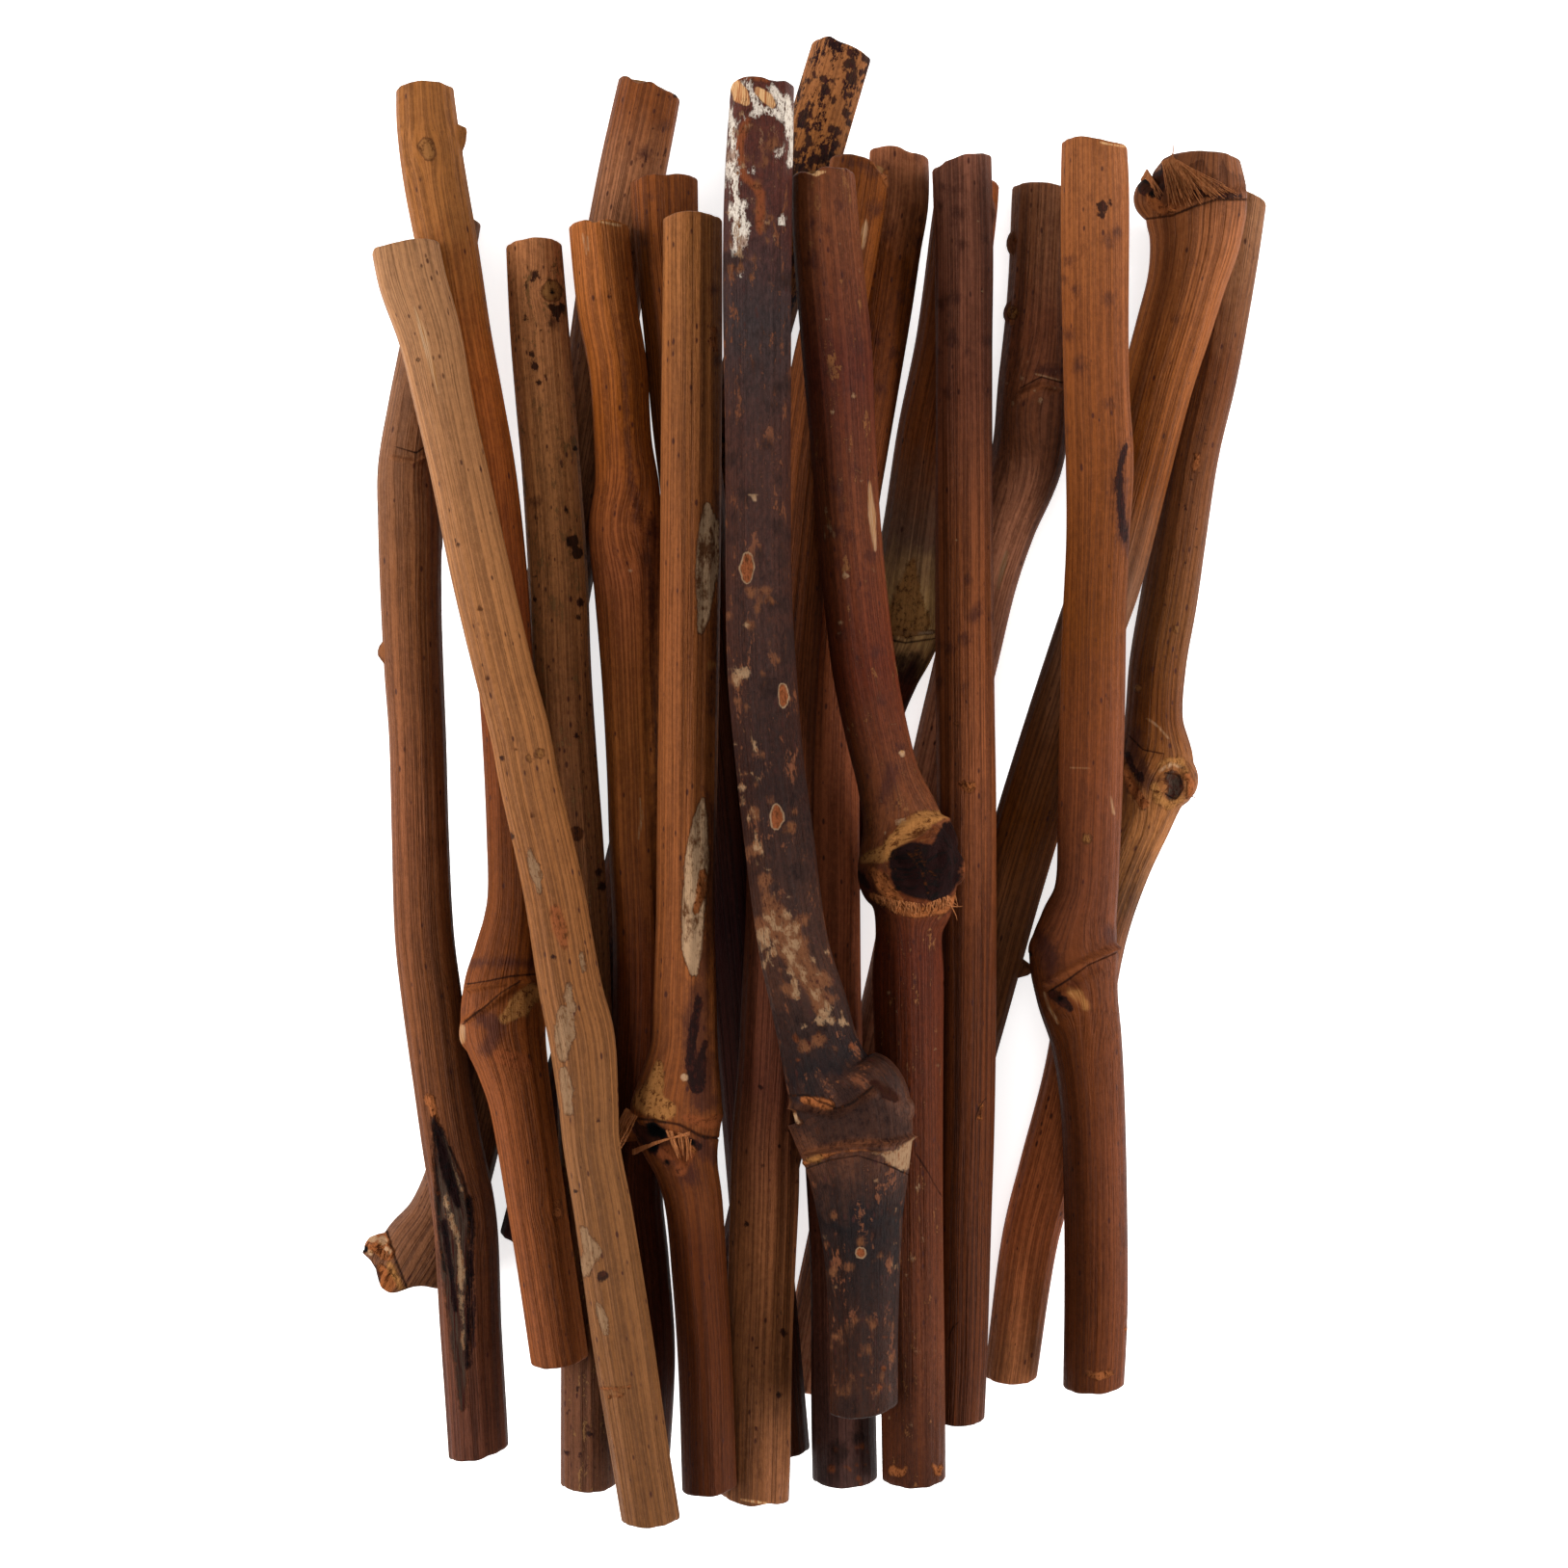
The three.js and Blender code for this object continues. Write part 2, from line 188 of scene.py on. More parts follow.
class StageSizes(bpy.types.PropertyGroup):
    """The floor, the light and the camera"""

    floor: length("Floor", "Width of the floor", 6.0)
    floor_colour: colour("Floor colour", "Plain pale floor", rgb(250, 249, 248))
    floor_glow: FloatProperty(
        name="Floor glow", description="How much the floor lights the gaps from below", default=0.7
    )
    lamp_long: length("Lamp length", "Length of each soft lamp", 1.3)
    lamp_high: length("Lamp height", "Height of each soft lamp's face", 0.6)
    lamp_away: length("Lamp distance", "How far the lamps at both sides are", 1.2)
    lamp_tilt: FloatProperty(
        name="Lamp angle", description="How high the side lamps stand", default=math.radians(25),
        subtype="ANGLE",
    )
    side_power: FloatProperty(
        name="Side power", description="Power of each lamp at the sides", default=32, unit="POWER"
    )
    top_power: FloatProperty(
        name="Top power", description="Power of the lamp above", default=5, unit="POWER"
    )
    sky: FloatProperty(name="Sky", description="Strength of the light from all round", default=0.22)
    sensor: length("Sensor", "Width of the camera's sensor, in its own millimetres", 36)


# Shader values that can be added, multiplied and compared as numbers can


class Value:
    """One output of a shader node."""

    def __init__(self, shader, socket):
        self.shader = shader
        self.socket = socket

    def _math(self, operation, *values):
        """One sum of values and numbers."""
        sockets = dict(enumerate(values))
        return self.shader.node("ShaderNodeMath", {"operation": operation}, sockets)

    def __add__(self, other):
        return self._math("ADD", self, other)

    def __sub__(self, other):
        return self._math("SUBTRACT", self, other)

    def __rsub__(self, other):
        return self._math("SUBTRACT", other, self)

    def __mul__(self, other):
        return self._math("MULTIPLY", self, other)

    __radd__ = __add__
    __rmul__ = __mul__

    def size(self):
        """The value without its sign."""
        return self._math("ABSOLUTE", self)

    def least(self, other):
        """The smaller of two values."""
        return self._math("MINIMUM", self, other)

    def above(self, low, high):
        """0 up to low and 1 from high on, with a smooth step between."""
        settings = {"interpolation_type": "SMOOTHSTEP"}
        return self.shader.node(
            "ShaderNodeMapRange", settings, {"Value": self, "From Min": low, "From Max": high}
        )


class Shader:
    """One material in the making."""

    def __init__(self, name):
        self.material = bpy.data.materials.new(name)
        self.material.use_nodes = True
        self.tree = self.material.node_tree
        self.surface = self.tree.nodes["Principled BSDF"]

    def feed(self, socket, value):
        """Links a value to a socket, or sets the socket to a number or a colour."""
        if isinstance(value, Value):
            self.tree.links.new(value.socket, socket)
        elif hasattr(value, "__len__") and socket.type == "RGBA":
            socket.default_value = (*value[:3], 1)
        else:
            socket.default_value = value

    def node(self, kind, settings=None, inputs=None, output=0):
        """A node with its settings and inputs. A colour ramp's stops are (position, colour)."""
        node = self.tree.nodes.new(kind)
        for key, value in (settings or {}).items():
            if key == "stops":
                for stop, shade in value[1:-1]:
                    node.color_ramp.elements.new(stop)
                for element, (stop, shade) in zip(node.color_ramp.elements, value):
                    element.position = stop
                    element.color = (*shade, 1)
            else:
                setattr(node, key, value)
        for key, value in (inputs or {}).items():
            self.feed(node.inputs[key], value)
        return Value(self, node.outputs[output])

    def attribute(self, name, output="Fac"):
        """A field that keep_field() has kept on the mesh."""
        return self.node("ShaderNodeAttribute", {"attribute_name": name}, output=output)

    def stretch(self, vector, scale):
        """A vector or colour, each part times its own number."""
        return self.node(
            "ShaderNodeVectorMath", {"operation": "MULTIPLY"}, {0: vector, 1: scale}
        )

    def noise(self, vector, scale, detail=2, roughness=0.5):
        """Noise that has scale cells to a millimetre along each axis."""
        return self.node(
            "ShaderNodeTexNoise",
            {"noise_dimensions": "3D"},
            {"Vector": self.stretch(vector, scale), "Scale": 1, "Detail": detail, "Roughness": roughness},
        )

    def mix(self, share, low, high):
        """A colour between two colours."""
        return self.node("ShaderNodeMix", {"data_type": "RGBA"}, {0: share, 6: low, 7: high}, 2)

    def finish(self, base, roughness, height):
        """Sets the surface: its colour, its roughness, and its fine relief in millimetres."""
        bump = self.node("ShaderNodeBump", {}, {"Strength": 1.0, "Distance": MM, "Height": height})
        self.feed(self.surface.inputs["Base Color"], base)
        self.feed(self.surface.inputs["Roughness"], roughness)
        self.feed(self.surface.inputs["Normal"], bump)
        return self.material


@dataclass
class Mark:
    """One kind of mark. Lengths are in millimetres.

    tone and other name its two colours, which are mixed by grain: grit, fibre or cloud. cover is
    how much of the wood's own colour they hide. ragged is how far its edge wanders, soft how wide
    it fades, and edge how wide its outline is, in edge_tone. relief is how far it stands out or sinks in
    within reach of its edge, broken how uneven it is, and raised its fine relief.
    """

    tone: str
    other: str
    grain: str = "grit"
    cover: float = 1.0
    ragged: float = 0.4
    soft: float = 0.15
    edge: float = 0.0
    edge_tone: str = "torn_deep"
    rough: float = 0.75
    relief: float = 0.0
    reach: float = 1.0
    broken: float = 0.0
    raised: float = 0.0


# Where two marks meet, the one that comes later here covers the other
MARKS = {
    "stain": Mark("stain", "stain", cover=0.7, ragged=2.2, soft=0.9, rough=0.6),
    "rust": Mark("rust", "torn_deep", cover=0.7, ragged=1.1, soft=0.3),
    "patch": Mark("patch", "rust", "fibre", cover=0.85, ragged=1.6, soft=0.6),
    "blotch": Mark("blotch", "stain", cover=0.9, ragged=1.3, soft=0.15),
    "crust": Mark("crust", "crust_dark", "grit", cover=0.65, ragged=1.8, soft=0.15, edge=0.06,
                  rough=0.9, raised=0.08),
    "scar": Mark("scar", "scar_dark", "cloud", ragged=1.0, soft=0.15, edge=0.12, rough=0.9,
                 relief=-0.15, reach=0.4, raised=0.12),
    "lichen": Mark("lichen", "torn_deep", "grit", cover=0.95, ragged=3.6, soft=0.14, rough=0.95,
                   raised=0.08),
    "streak": Mark("scar", "patch", "fibre", cover=0.7, ragged=0.4, soft=0.2),
    "torn": Mark("torn", "torn_deep", "grit", ragged=1.2, soft=0.2, rough=0.85, broken=0.35, raised=0.25),
    "chip": Mark("chip", "torn", "fibre", ragged=0.5, soft=0.15, rough=0.85, relief=-0.25, reach=0.5),
    "ridge": Mark("torn", "torn_deep", cover=0.15, ragged=0.8, soft=0.5, relief=1.0, reach=0.8),
    "weathered": Mark("weathered", "stain", "fibre", cover=0.95, ragged=1.6, soft=0.2, edge=0.25,
                      rough=0.9, relief=-0.25, reach=0.5, raised=0.1),
    "soot": Mark("soot", "blotch", "grit", cover=0.7, ragged=2.4, soft=0.8, rough=0.7),
    "bark_patch": Mark("bark_brown", "stain", "grit", cover=0.75, ragged=3.0, soft=0.4),
    "peeled": Mark("crust", "bark_brown", "grit", cover=0.85, ragged=2.4, soft=0.2, raised=0.05),
    "flaxen": Mark("patch", "torn_deep", "grit", cover=0.85, ragged=1.4, soft=0.3, rough=0.85, raised=0.15),
    "lens": Mark("rust", "torn_deep", "grit", cover=0.95, ragged=0.5, soft=0.12, edge=0.16,
                 edge_tone="crust", relief=-0.3, reach=0.5, raised=0.15),
    "knot": Mark("patch", "torn_deep", "grit", cover=0.6, ragged=1.0, soft=0.25, edge=0.1, relief=0.25,
                 reach=0.8, broken=0.08, raised=0.08),
    # A dent's darker colour is painted shade in its hollow
    "dent": Mark("torn_deep", "stain", cover=0.3, ragged=0.8, soft=0.6, relief=-0.9, reach=1.5),
    "char": Mark("char", "hole", "grit", cover=0.97, ragged=0.7, soft=0.25, rough=0.85,
                 relief=-0.2, reach=0.6, broken=0.15, raised=0.15),
    # A hole and a crease are painted near-black, as painted shade inside them
    "hole": Mark("hole", "hole", ragged=0.6, soft=0.25, rough=0.9, relief=-1.6, reach=1.5, broken=0.2),
    "line": Mark("hole", "torn_deep", cover=0.85, ragged=0.25, soft=0.14, rough=0.9, relief=-0.35,
                 reach=0.3),
    "pore": Mark("torn_deep", "blotch", cover=0.85, ragged=0.3, soft=0.15, raised=-0.05),
    "pale": Mark("scar", "patch", cover=0.8, ragged=0.25, soft=0.15),
    "fibre": Mark("frayed", "torn", "fibre", ragged=0.0, soft=0.1, rough=0.8),
}


class Wood:
    """The bark or wood of one twig.

    shades are its colours from the top end to the bottom end, each as (plan row, colour). They are
    partly painted light and shade: besides the wood's own tone they hold painted shade that darkens
    it towards the bottom end, and a stop is set lighter where its stretch lies in shade on the stage,
    or darker where a neighbour's shade falls on it.
    lines is how much its dark grooves show, patchy how much its darker patches do and grit how much
    its fine speckle does. flake is the colour of small flakes and flaky how many there are, specks is
    how many dark specks it has, and rough its roughness.
    """

    def __init__(self, shades, lines=0.5, patchy=0.3, flake=(150, 104, 64), flaky=0.0, specks=0.3,
                 grit=0.35, rough=0.6):
        self.shades = [(row, seen(*shade)) for row, shade in shades]
        self.lines = lines
        self.patchy = patchy
        self.flake = seen(*flake)
        self.flaky = flaky
        self.specks = specks
        self.grit = grit
        self.rough = rough


def wood_material(name, wood, kinds, colours, run):
    """Ribbed wood along the stick, with the marks that its twig has, and end grain on its saw cuts."""
    shader = Shader(name)
    stick = shader.attribute("stick", "Vector")
    cut = shader.attribute("cut")
    ribs = shader.noise(stick, RIBS, 2, 0.6)
    fibre = shader.noise(stick, FIBRE, 2, 0.6)
    broad = shader.noise(stick, BROAD, 2)
    cloud = shader.noise(stick, CLOUD, 4, 0.65)
    grit = shader.noise(stick, GRIT, 4, 0.75)
    dots = {"Vector": shader.stretch(stick, SPECKS), "Scale": 1}
    apart = shader.node("ShaderNodeTexVoronoi", {}, dots)
    drawn = shader.node("ShaderNodeTexVoronoi", {}, dots, "Color")
    chosen = shader.node("ShaderNodeSeparateColor", {}, {0: drawn})
    grooves = ribs.above(*IN_GROOVE)

    # The shades ramp: the wood's own tone, with painted shade towards the bottom end and painted light or
    # shade on some stretches
    stops = [(run.part(row), shade) for row, shade in wood.shades]
    share = shader.attribute("share") + cloud * 0.08 - 0.04
    base = shader.node("ShaderNodeValToRGB", {"stops": stops}, {0: share})
    groove, patch, light = (shader.stretch(base, share) for share in (GROOVE, PATCH, LIGHT))
    base = shader.mix(cloud.above(*IN_PATCH) * wood.patchy, base, patch)
    base = shader.mix((1 - fibre.above(*ON_FIBRE)) * 0.25, base, light)
    base = shader.mix(broad.above(*IN_BROAD_GROOVE) * wood.lines * 0.35, base, groove)
    base = shader.mix(grooves * wood.lines, base, groove)
    base = shader.mix(fibre.above(*IN_FIBRE_GROOVE) * wood.lines * 0.6, base, groove)
    base = shader.mix(grit.above(*DARK_GRIT) * wood.grit, base, patch)
    base = shader.mix((1 - grit.above(*LIGHT_GRIT)) * wood.grit * 0.7, base, light)
    base = shader.mix((1 - ribs.above(*ON_RIB)) * 0.3, base, light)
    if wood.flaky:
        flakes = (cloud * 0.55 + grit * 0.45).above(0.6 - wood.flaky * 0.16, 0.64 - wood.flaky * 0.14)
        base = shader.mix(flakes, base, wood.flake)
    size = chosen.above(1 - wood.specks, 1)
    speck = 1 - (apart + grit * 0.3).above(size * 0.2 + 0.1, size * 0.3 + 0.2)
    specks = speck * chosen.above(1 - wood.specks, 1.05 - wood.specks)
    base = shader.mix(specks * 0.85, base, colours.stain)
    rough = grit * 0.3 + (wood.rough - 0.15)
    height = (1 - grooves) * (0.04 + 0.14 * wood.lines) + fibre * 0.14 + grit * (0.12 + 0.25 * wood.grit)

    for kind in kinds:
        mark = MARKS[kind]
        wander = cloud * 1.1 + grit * 0.9 - 1.0
        inside = shader.attribute(kind)
        if kind == "line":
            inside = ((1 - shader.attribute("beside").size()) * LINE_HALF).least(inside + LINE_HALF * 2)
        inside = inside + wander * mark.ragged
        mask = inside.above(-mark.soft, mark.soft)
        if mark.edge:
            outline = inside.above(-mark.soft - mark.edge, -mark.edge)
            base = shader.mix(outline * 0.8, base, getattr(colours, mark.edge_tone))
        grains = {
            "grit": grit.above(0.48, 0.66),
            "fibre": fibre.above(0.42, 0.64),
            "cloud": (cloud * 0.6 + grit * 0.4).above(0.46, 0.6),
        }
        tone = shader.mix(grains[mark.grain], getattr(colours, mark.tone), getattr(colours, mark.other))
        base = shader.mix(mask * mark.cover, base, tone)
        rough = rough + mask * (mark.rough - wood.rough)
        if mark.raised:
            height = height + mask * (grit * 1.5 + 0.2) * mark.raised

    rings = shader.node(
        "ShaderNodeTexWave",
        {"wave_type": "RINGS", "rings_direction": "Z"},
        {"Vector": shader.stretch(stick, (1, 1, 0)), "Scale": 0.16, "Distortion": 2.6, "Detail": 3},
    )
    dark = rings.above(0.2, 0.9) * 0.25 + grit.above(0.46, 0.6) * 0.6
    grain = shader.mix(dark, colours.cut, colours.pith)
    sawn = cut.above(0.3, 0.7)
    base = shader.mix(sawn, base, grain)
    shader.surface.inputs["Specular IOR Level"].default_value = SPECULAR
    return shader.finish(base, rough + sawn * 0.2, height + sawn * rings * 0.03)


# The plan in the row frame


def scale_at(height):
    """Metres that one unit of the plan covers at a height."""
    return UNIT * (1 - height / EYE_HEIGHT)


def place(x, y, height):
    """The place of a plan point that lies at a height."""
    scale = scale_at(height)
    across = (EYE[0] - MIDDLE[0]) * UNIT + (x - EYE[0]) * scale
    return across, (MIDDLE[1] - EYE[1]) * UNIT + (EYE[1] - y) * scale


def plan_point(across, up, height):
    """The plan point of a place at a height: place() the other way round."""
    scale = scale_at(height)
    x = EYE[0] + (across - (EYE[0] - MIDDLE[0]) * UNIT) / scale
    return x, EYE[1] - (up - (MIDDLE[1] - EYE[1]) * UNIT) / scale


def smooth_line(points, steps=40):
    """A centripetal curve through points, as a row of close points."""
    first = 2 * points[0] - points[1]
    last = 2 * points[-1] - points[-2]
    held = np.vstack([first, points, last])
    share = np.linspace(0, 1, steps, endpoint=False)[:, None]
    made = []
    for a, b, c, d in zip(held, held[1:], held[2:], held[3:]):
        before, between, after = (math.sqrt(np.linalg.norm(q - p)) for p, q in ((a, b), (b, c), (c, d)))
        leave = ((b - a) / before - (c - a) / (before + between) + (c - b) / between) * between
        reach = ((c - b) / between - (d - b) / (between + after) + (d - c) / after) * between
        cubic = 2 * b - 2 * c + leave + reach
        square = -3 * b + 3 * c - 2 * leave - reach
        made.append(b + leave * share + square * share**2 + cubic * share**3)
    return np.vstack([*made, points[-1:]])


def smooth_step(value, low, high):
    """0 up to low and 1 from high on, with a smooth step between."""
    share = np.clip((value - low) / (high - low), 0, 1)
    return share * share * (3 - 2 * share)


class Run:
    """The line that a twig follows, with its width and height at any share of its length."""

    def __init__(self, spine, node):
        points = np.array(spine, float)
        self.plan = smooth_line(points)
        steps = np.hypot(*np.diff(self.plan[:, :2], axis=0).T)
        self.share = np.concatenate([[0], np.cumsum(steps)]) / steps.sum()
        self.usual = sorted(points[:, 2])[len(points) // 3]
        self.first, self.last = points[0, 1], points[-1, 1]
        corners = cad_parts[node].data.vertices
        self.solid = np.array([corner.co for corner in corners])
        self.top, self.foot = self.end_height(points[0]), self.end_height(points[-1])
        self.length = steps.sum() * scale_at(self.height(points[:, 1].mean()))

    def end_height(self, point):
        """The height of the solid's middle at one end."""
        height = self.solid[:, 2].mean()
        for _ in range(4):
            across, up = place(point[0], point[1], height)
            apart = np.hypot(self.solid[:, 0] - across, self.solid[:, 1] - up)
            near = self.solid[apart < point[2] * UNIT * 0.62, 2]
            if len(near):
                height = (near.min() + near.max()) / 2
        return height

    def part(self, y):
        """How much of the way from the first plan row to the last a row is."""
        return (y - self.first) / (self.last - self.first)

    def height(self, y):
        """The height of the twig's middle at a plan row."""
        return self.top + (self.foot - self.top) * np.clip(self.part(y), 0, 1)

    def at(self, share):
        """Plan point, width and height at a share of the length."""
        x, y, width = (np.interp(share, self.share, column) for column in self.plan.T)
        return x, y, width, self.height(y)

    def half(self, width, height):
        """Half the width and half the depth of a section, in metres."""
        wide = width * scale_at(height)
        usual = self.usual * scale_at((self.top + self.foot) / 2)
        deep = np.minimum(wide, usual) + np.maximum(0, wide - usual) * DEPTH_SHARE
        return wide / 2, deep / 2

    def share_of(self, x, y):
        """The share of the length that lies nearest a plan point."""
        return self.share[np.argmin(np.hypot(self.plan[:, 0] - x, self.plan[:, 1] - y))]

    def surface(self, x, y):
        """The place on the upper side of the twig that is seen at a plan point."""
        axis_x, axis_y, width, height = self.at(self.share_of(x, y))
        wide, deep = self.half(width, height)
        aside = min(1, math.hypot(x - axis_x, y - axis_y) * scale_at(height) / wide)
        top = height + deep * math.sqrt(1 - aside**2)
        return np.array([*place(x, y, top), top])


def nearest(x, y, start, end):
    """How far along a line from start to end each plan point is, how far away and on which side."""
    (ax, ay), (bx, by) = start[:2], end[:2]
    dx, dy = bx - ax, by - ay
    share = np.clip(((x - ax) * dx + (y - ay) * dy) / max(dx * dx + dy * dy, 1e-9), 0, 1)
    apart = np.hypot(x - ax - dx * share, y - ay - dy * share)
    return share, apart, np.where((x - ax) * dy > (y - ay) * dx, 1, -1)


def depth_in(chain, x, y):
    """How far inside a mark each plan point is, in millimetres, and below 0 outside it."""
    best = np.full_like(x, FARTHEST)
    pairs = zip(chain, chain[1:]) if len(chain) > 1 else [(chain[0], chain[0])]
    for start, end in pairs:
        share, apart, side = nearest(x, y, start, end)
        best = np.maximum(best, (start[2] + (end[2] - start[2]) * share - apart) * UNIT / MM)
    return best


def ripple(rng, round_it, along, lobes, wave, count=9):
    """Smooth random relief between about -1 and 1, closed round the stick."""
    total = np.zeros_like(along)
    for _ in range(count):
        turns = rng.randint(*lobes)
        drift = rng.uniform(-1, 1) * math.tau / wave
        total += np.sin(turns * round_it + drift * along + rng.uniform(0, math.tau))
    return total / math.sqrt(count) * 0.9


def deselect():
    """Leaves nothing selected."""
    for piece in bpy.context.selected_objects:
        piece.select_set(False)


def straight_stick(sizes):
    """A straight stick of radius and length 1, with rows down its side and rings on its ends."""
    deselect()
    bpy.ops.mesh.primitive_cylinder_add(
        vertices=sizes.sides, radius=1, depth=1, end_fill_type="NGON", location=(0, 0, 0)
    )
    stick = bpy.context.object
    stick.name = "straight_stick"
    mesh = stick.data
    for rows in (FIRST_ROWS, sizes.rows // FIRST_ROWS):
        bpy.ops.object.mode_set(mode="EDIT")
        bpy.ops.mesh.select_mode(type="EDGE")
        bpy.ops.mesh.select_all(action="DESELECT")
        bpy.ops.object.mode_set(mode="OBJECT")
        for edge in mesh.edges:
            low, high = (mesh.vertices[corner].co.z for corner in edge.vertices)
            edge.select = abs(high - low) > 1e-4
        bpy.ops.object.mode_set(mode="EDIT")
        bpy.ops.mesh.subdivide(number_cuts=rows - 1)
        bpy.ops.object.mode_set(mode="OBJECT")
    bpy.ops.object.mode_set(mode="EDIT")
    bpy.ops.mesh.select_mode(type="FACE")
    bpy.ops.mesh.select_all(action="DESELECT")
    bpy.ops.object.mode_set(mode="OBJECT")
    for face in mesh.polygons:
        face.select = abs(face.normal.z) > 0.9
    bpy.ops.object.mode_set(mode="EDIT")
    for ring in range(sizes.cap_rings):
        bpy.ops.mesh.inset(thickness=1 / (sizes.cap_rings + 1), use_even_offset=False)
    bpy.ops.mesh.poke()
    bpy.ops.object.mode_set(mode="OBJECT")
    bpy.ops.object.shade_smooth()
    stick.hide_render = True
    return stick


def corner_array(mesh):
    """The places of a mesh's vertices, a row for each."""
    found = np.empty(len(mesh.vertices) * 3, np.float32)
    mesh.vertices.foreach_get("co", found)
    return found.reshape(-1, 3).astype(float)


def keep_field(mesh, name, values):
    """Keeps a number or a vector at each vertex, under a name that the materials read."""
    vector = values.ndim == 2
    field = mesh.attributes.new(name, "FLOAT_VECTOR" if vector else "FLOAT", "POINT")
    field.data.foreach_set("vector" if vector else "value", values.astype(np.float32).ravel())


class Growing:
    """One twig in the making: its stick's vertices, its marks, its lumps and its loose fibres."""

    def __init__(self, context, spine, cuts, node, stick):
        self.sizes = context.scene.twig_sizes
        self.rng = random.Random(node)
        self.run = Run(spine, node)
        self.node = node
        self.stick = stick
        self.cuts = cuts
        # For the top and the bottom end, 1 where it is sawn and 0 where it is broken
        self.sawn = (1, 1)
        self.chains = {}
        self.focus = []
        self.lumps = []
        self.flows = []
        self.chips = []
        self.strands = []

    # What an operator asks for, in plan units

    def spots(self, kind, *discs):
        """Round marks, each as (x, y, radius)."""
        for disc in discs:
            self.stroke(kind, disc)

    def stroke(self, kind, *points, round_it=False):
        """One mark along points, each as (x, y, half width)."""
        self.chains.setdefault(kind, []).append((np.array(points, float), round_it))

    def ring(self, kind, *points):
        """A mark that goes on round the twig's far side, with finer rows about it."""
        self.stroke(kind, *points, round_it=True)
        self.focus.append(sum(point[1] for point in points) / len(points))

    def lump(self, *lump):
        """A bud or knot, as (x, y, half length, half width, turn, height above the axis)."""
        self.lumps.append(lump)

    def scatter(self, kind, count, first, last, sizes, sides=(-0.47, 0.47)):
        """Spots of a size between two, strewn between two rows and two sides."""
        for _ in range(count):
            row = self.rng.uniform(first, last)
            x, y, width, height = self.run.at(self.run.part(row))
            size = sizes[0] + (sizes[1] - sizes[0]) * self.rng.random() ** 2
            self.stroke(kind, (x + self.rng.uniform(*sides) * width, y, size))

    def chip(self, end, where, half, depth):
        """A chip out of the rim of end 0 or 1, where and half as wide as shares of half the width.

        depth is in millimetres, and below 0 where the wood stands out.
        """
        self.chips.append((end, where, half, depth))

    def flow(self, x, y, reach, strength=0.5):
        """The grain runs round this point."""
        self.flows.append((x, y, reach, strength))

    def strand(self, thick, *points):
        """A loose fibre, thick in millimetres, along (x, y, millimetres above the bark)."""
        places = []
        for x, y, lift in points:
            spot = self.run.surface(x, y)
            spot[2] += lift * MM
            places.append(spot)
        self.strands.append((thick * MM, places))

    def fringe(self, count, thick, start, end, lift=(0.1, 0.6), sway=3.0):
        """Fibres from somewhere on one line to about the same share of another."""
        start, end = np.array(start, float), np.array(end, float)
        for _ in range(count):
            share = self.rng.random()
            drift = min(1, max(0, share + self.rng.uniform(-0.1, 0.1)))
            low = [np.interp(share, np.linspace(0, 1, len(start)), column) for column in start.T]
            high = [np.interp(drift, np.linspace(0, 1, len(end)), column) for column in end.T]
            reach = self.rng.uniform(0.6, 1.1)
            tip = [a + (b - a) * reach for a, b in zip(low, high)]
            middle = [(a + b) / 2 + self.rng.uniform(-sway, sway) for a, b in zip(low, tip)]
            top = self.rng.uniform(*lift)
            width = thick * self.rng.uniform(0.6, 1.2)
            self.strand(width, (*low, 0), (*middle, top), (*tip, top * self.rng.uniform(0.2, 1.4)))

    # The shape

    def row_shares(self, rows):
        """Rows lie closer together at the saw cuts, at the knuckles and at the rings."""
        grid = np.linspace(0, 1, 2001)
        x, y, width, height = self.run.at(grid)
        from_end = np.minimum(grid, 1 - grid) * self.run.length
        knuckle = np.clip(np.abs(width / self.run.usual - 1) * 4, 0, 1)
        near = np.zeros_like(grid)
        for focus in self.focus:
            near = np.maximum(near, np.exp(-(((y - focus) / CROWD_FROM_RING) ** 2)))
        crowd = 1 + END_CROWD * np.exp(-((from_end / (CROWD_FROM_END * MM)) ** 2))
        crowd += KNUCKLE_CROWD * knuckle + RING_CROWD * near
        total = np.cumsum(crowd)
        return np.interp(rows, (total - total[0]) / (total[-1] - total[0]), grid)

    def bend(self):
        """Lays the straight stick's vertices along the run."""
        flat = corner_array(self.stick.data)
        self.turn = np.arctan2(flat[:, 1], flat[:, 0])
        inward = np.hypot(flat[:, 0], flat[:, 1])
        self.share = self.row_shares(np.clip(flat[:, 2] + 0.5, 0, 1))
        self.cap = smooth_step(1 - inward, 0.02, 0.2)
        along = self.share * self.run.length
        x, y, width, height = self.run.at(self.share)
        wide, deep = self.run.half(width, height)
        middle = np.stack([*place(x, y, height), height], 1)
        before, after = (self.run.at(np.clip(self.share + step, 0, 1)) for step in (-0.002, 0.002))
        ahead = np.stack([after[0] - before[0], before[1] - after[1], np.zeros_like(x)], 1)
        ahead /= np.linalg.norm(ahead, axis=1)[:, None]
        across = np.stack([-ahead[:, 1], ahead[:, 0], np.zeros_like(x)], 1)
        from_end = np.minimum(along, self.run.length - along)
        in_rim = 1 - np.clip(from_end / self.sizes.rim, 0, 1)
        worn = END_SHARE + (1 - END_SHARE) * np.sqrt(1 - in_rim**2)
        side = wide * np.cos(self.turn)
        rise = deep * np.sin(self.turn)
        grow = self.grow(middle, across, side, rise, worn)
        side *= grow * inward
        rise *= grow * inward
        slide = self.slide(side, wide, along, inward)
        base = middle + across * side[:, None] + ahead * slide[:, None]
        base[:, 2] += rise
        self.outward = across * np.cos(self.turn)[:, None]
        self.outward[:, 2] = np.sin(self.turn)
        self.base = base
        self.along = along
        self.inward = inward
        radius = self.run.usual * UNIT / 2
        self.even = np.stack(
            [np.cos(self.turn) * inward * radius, np.sin(self.turn) * inward * radius, along], 1
        )

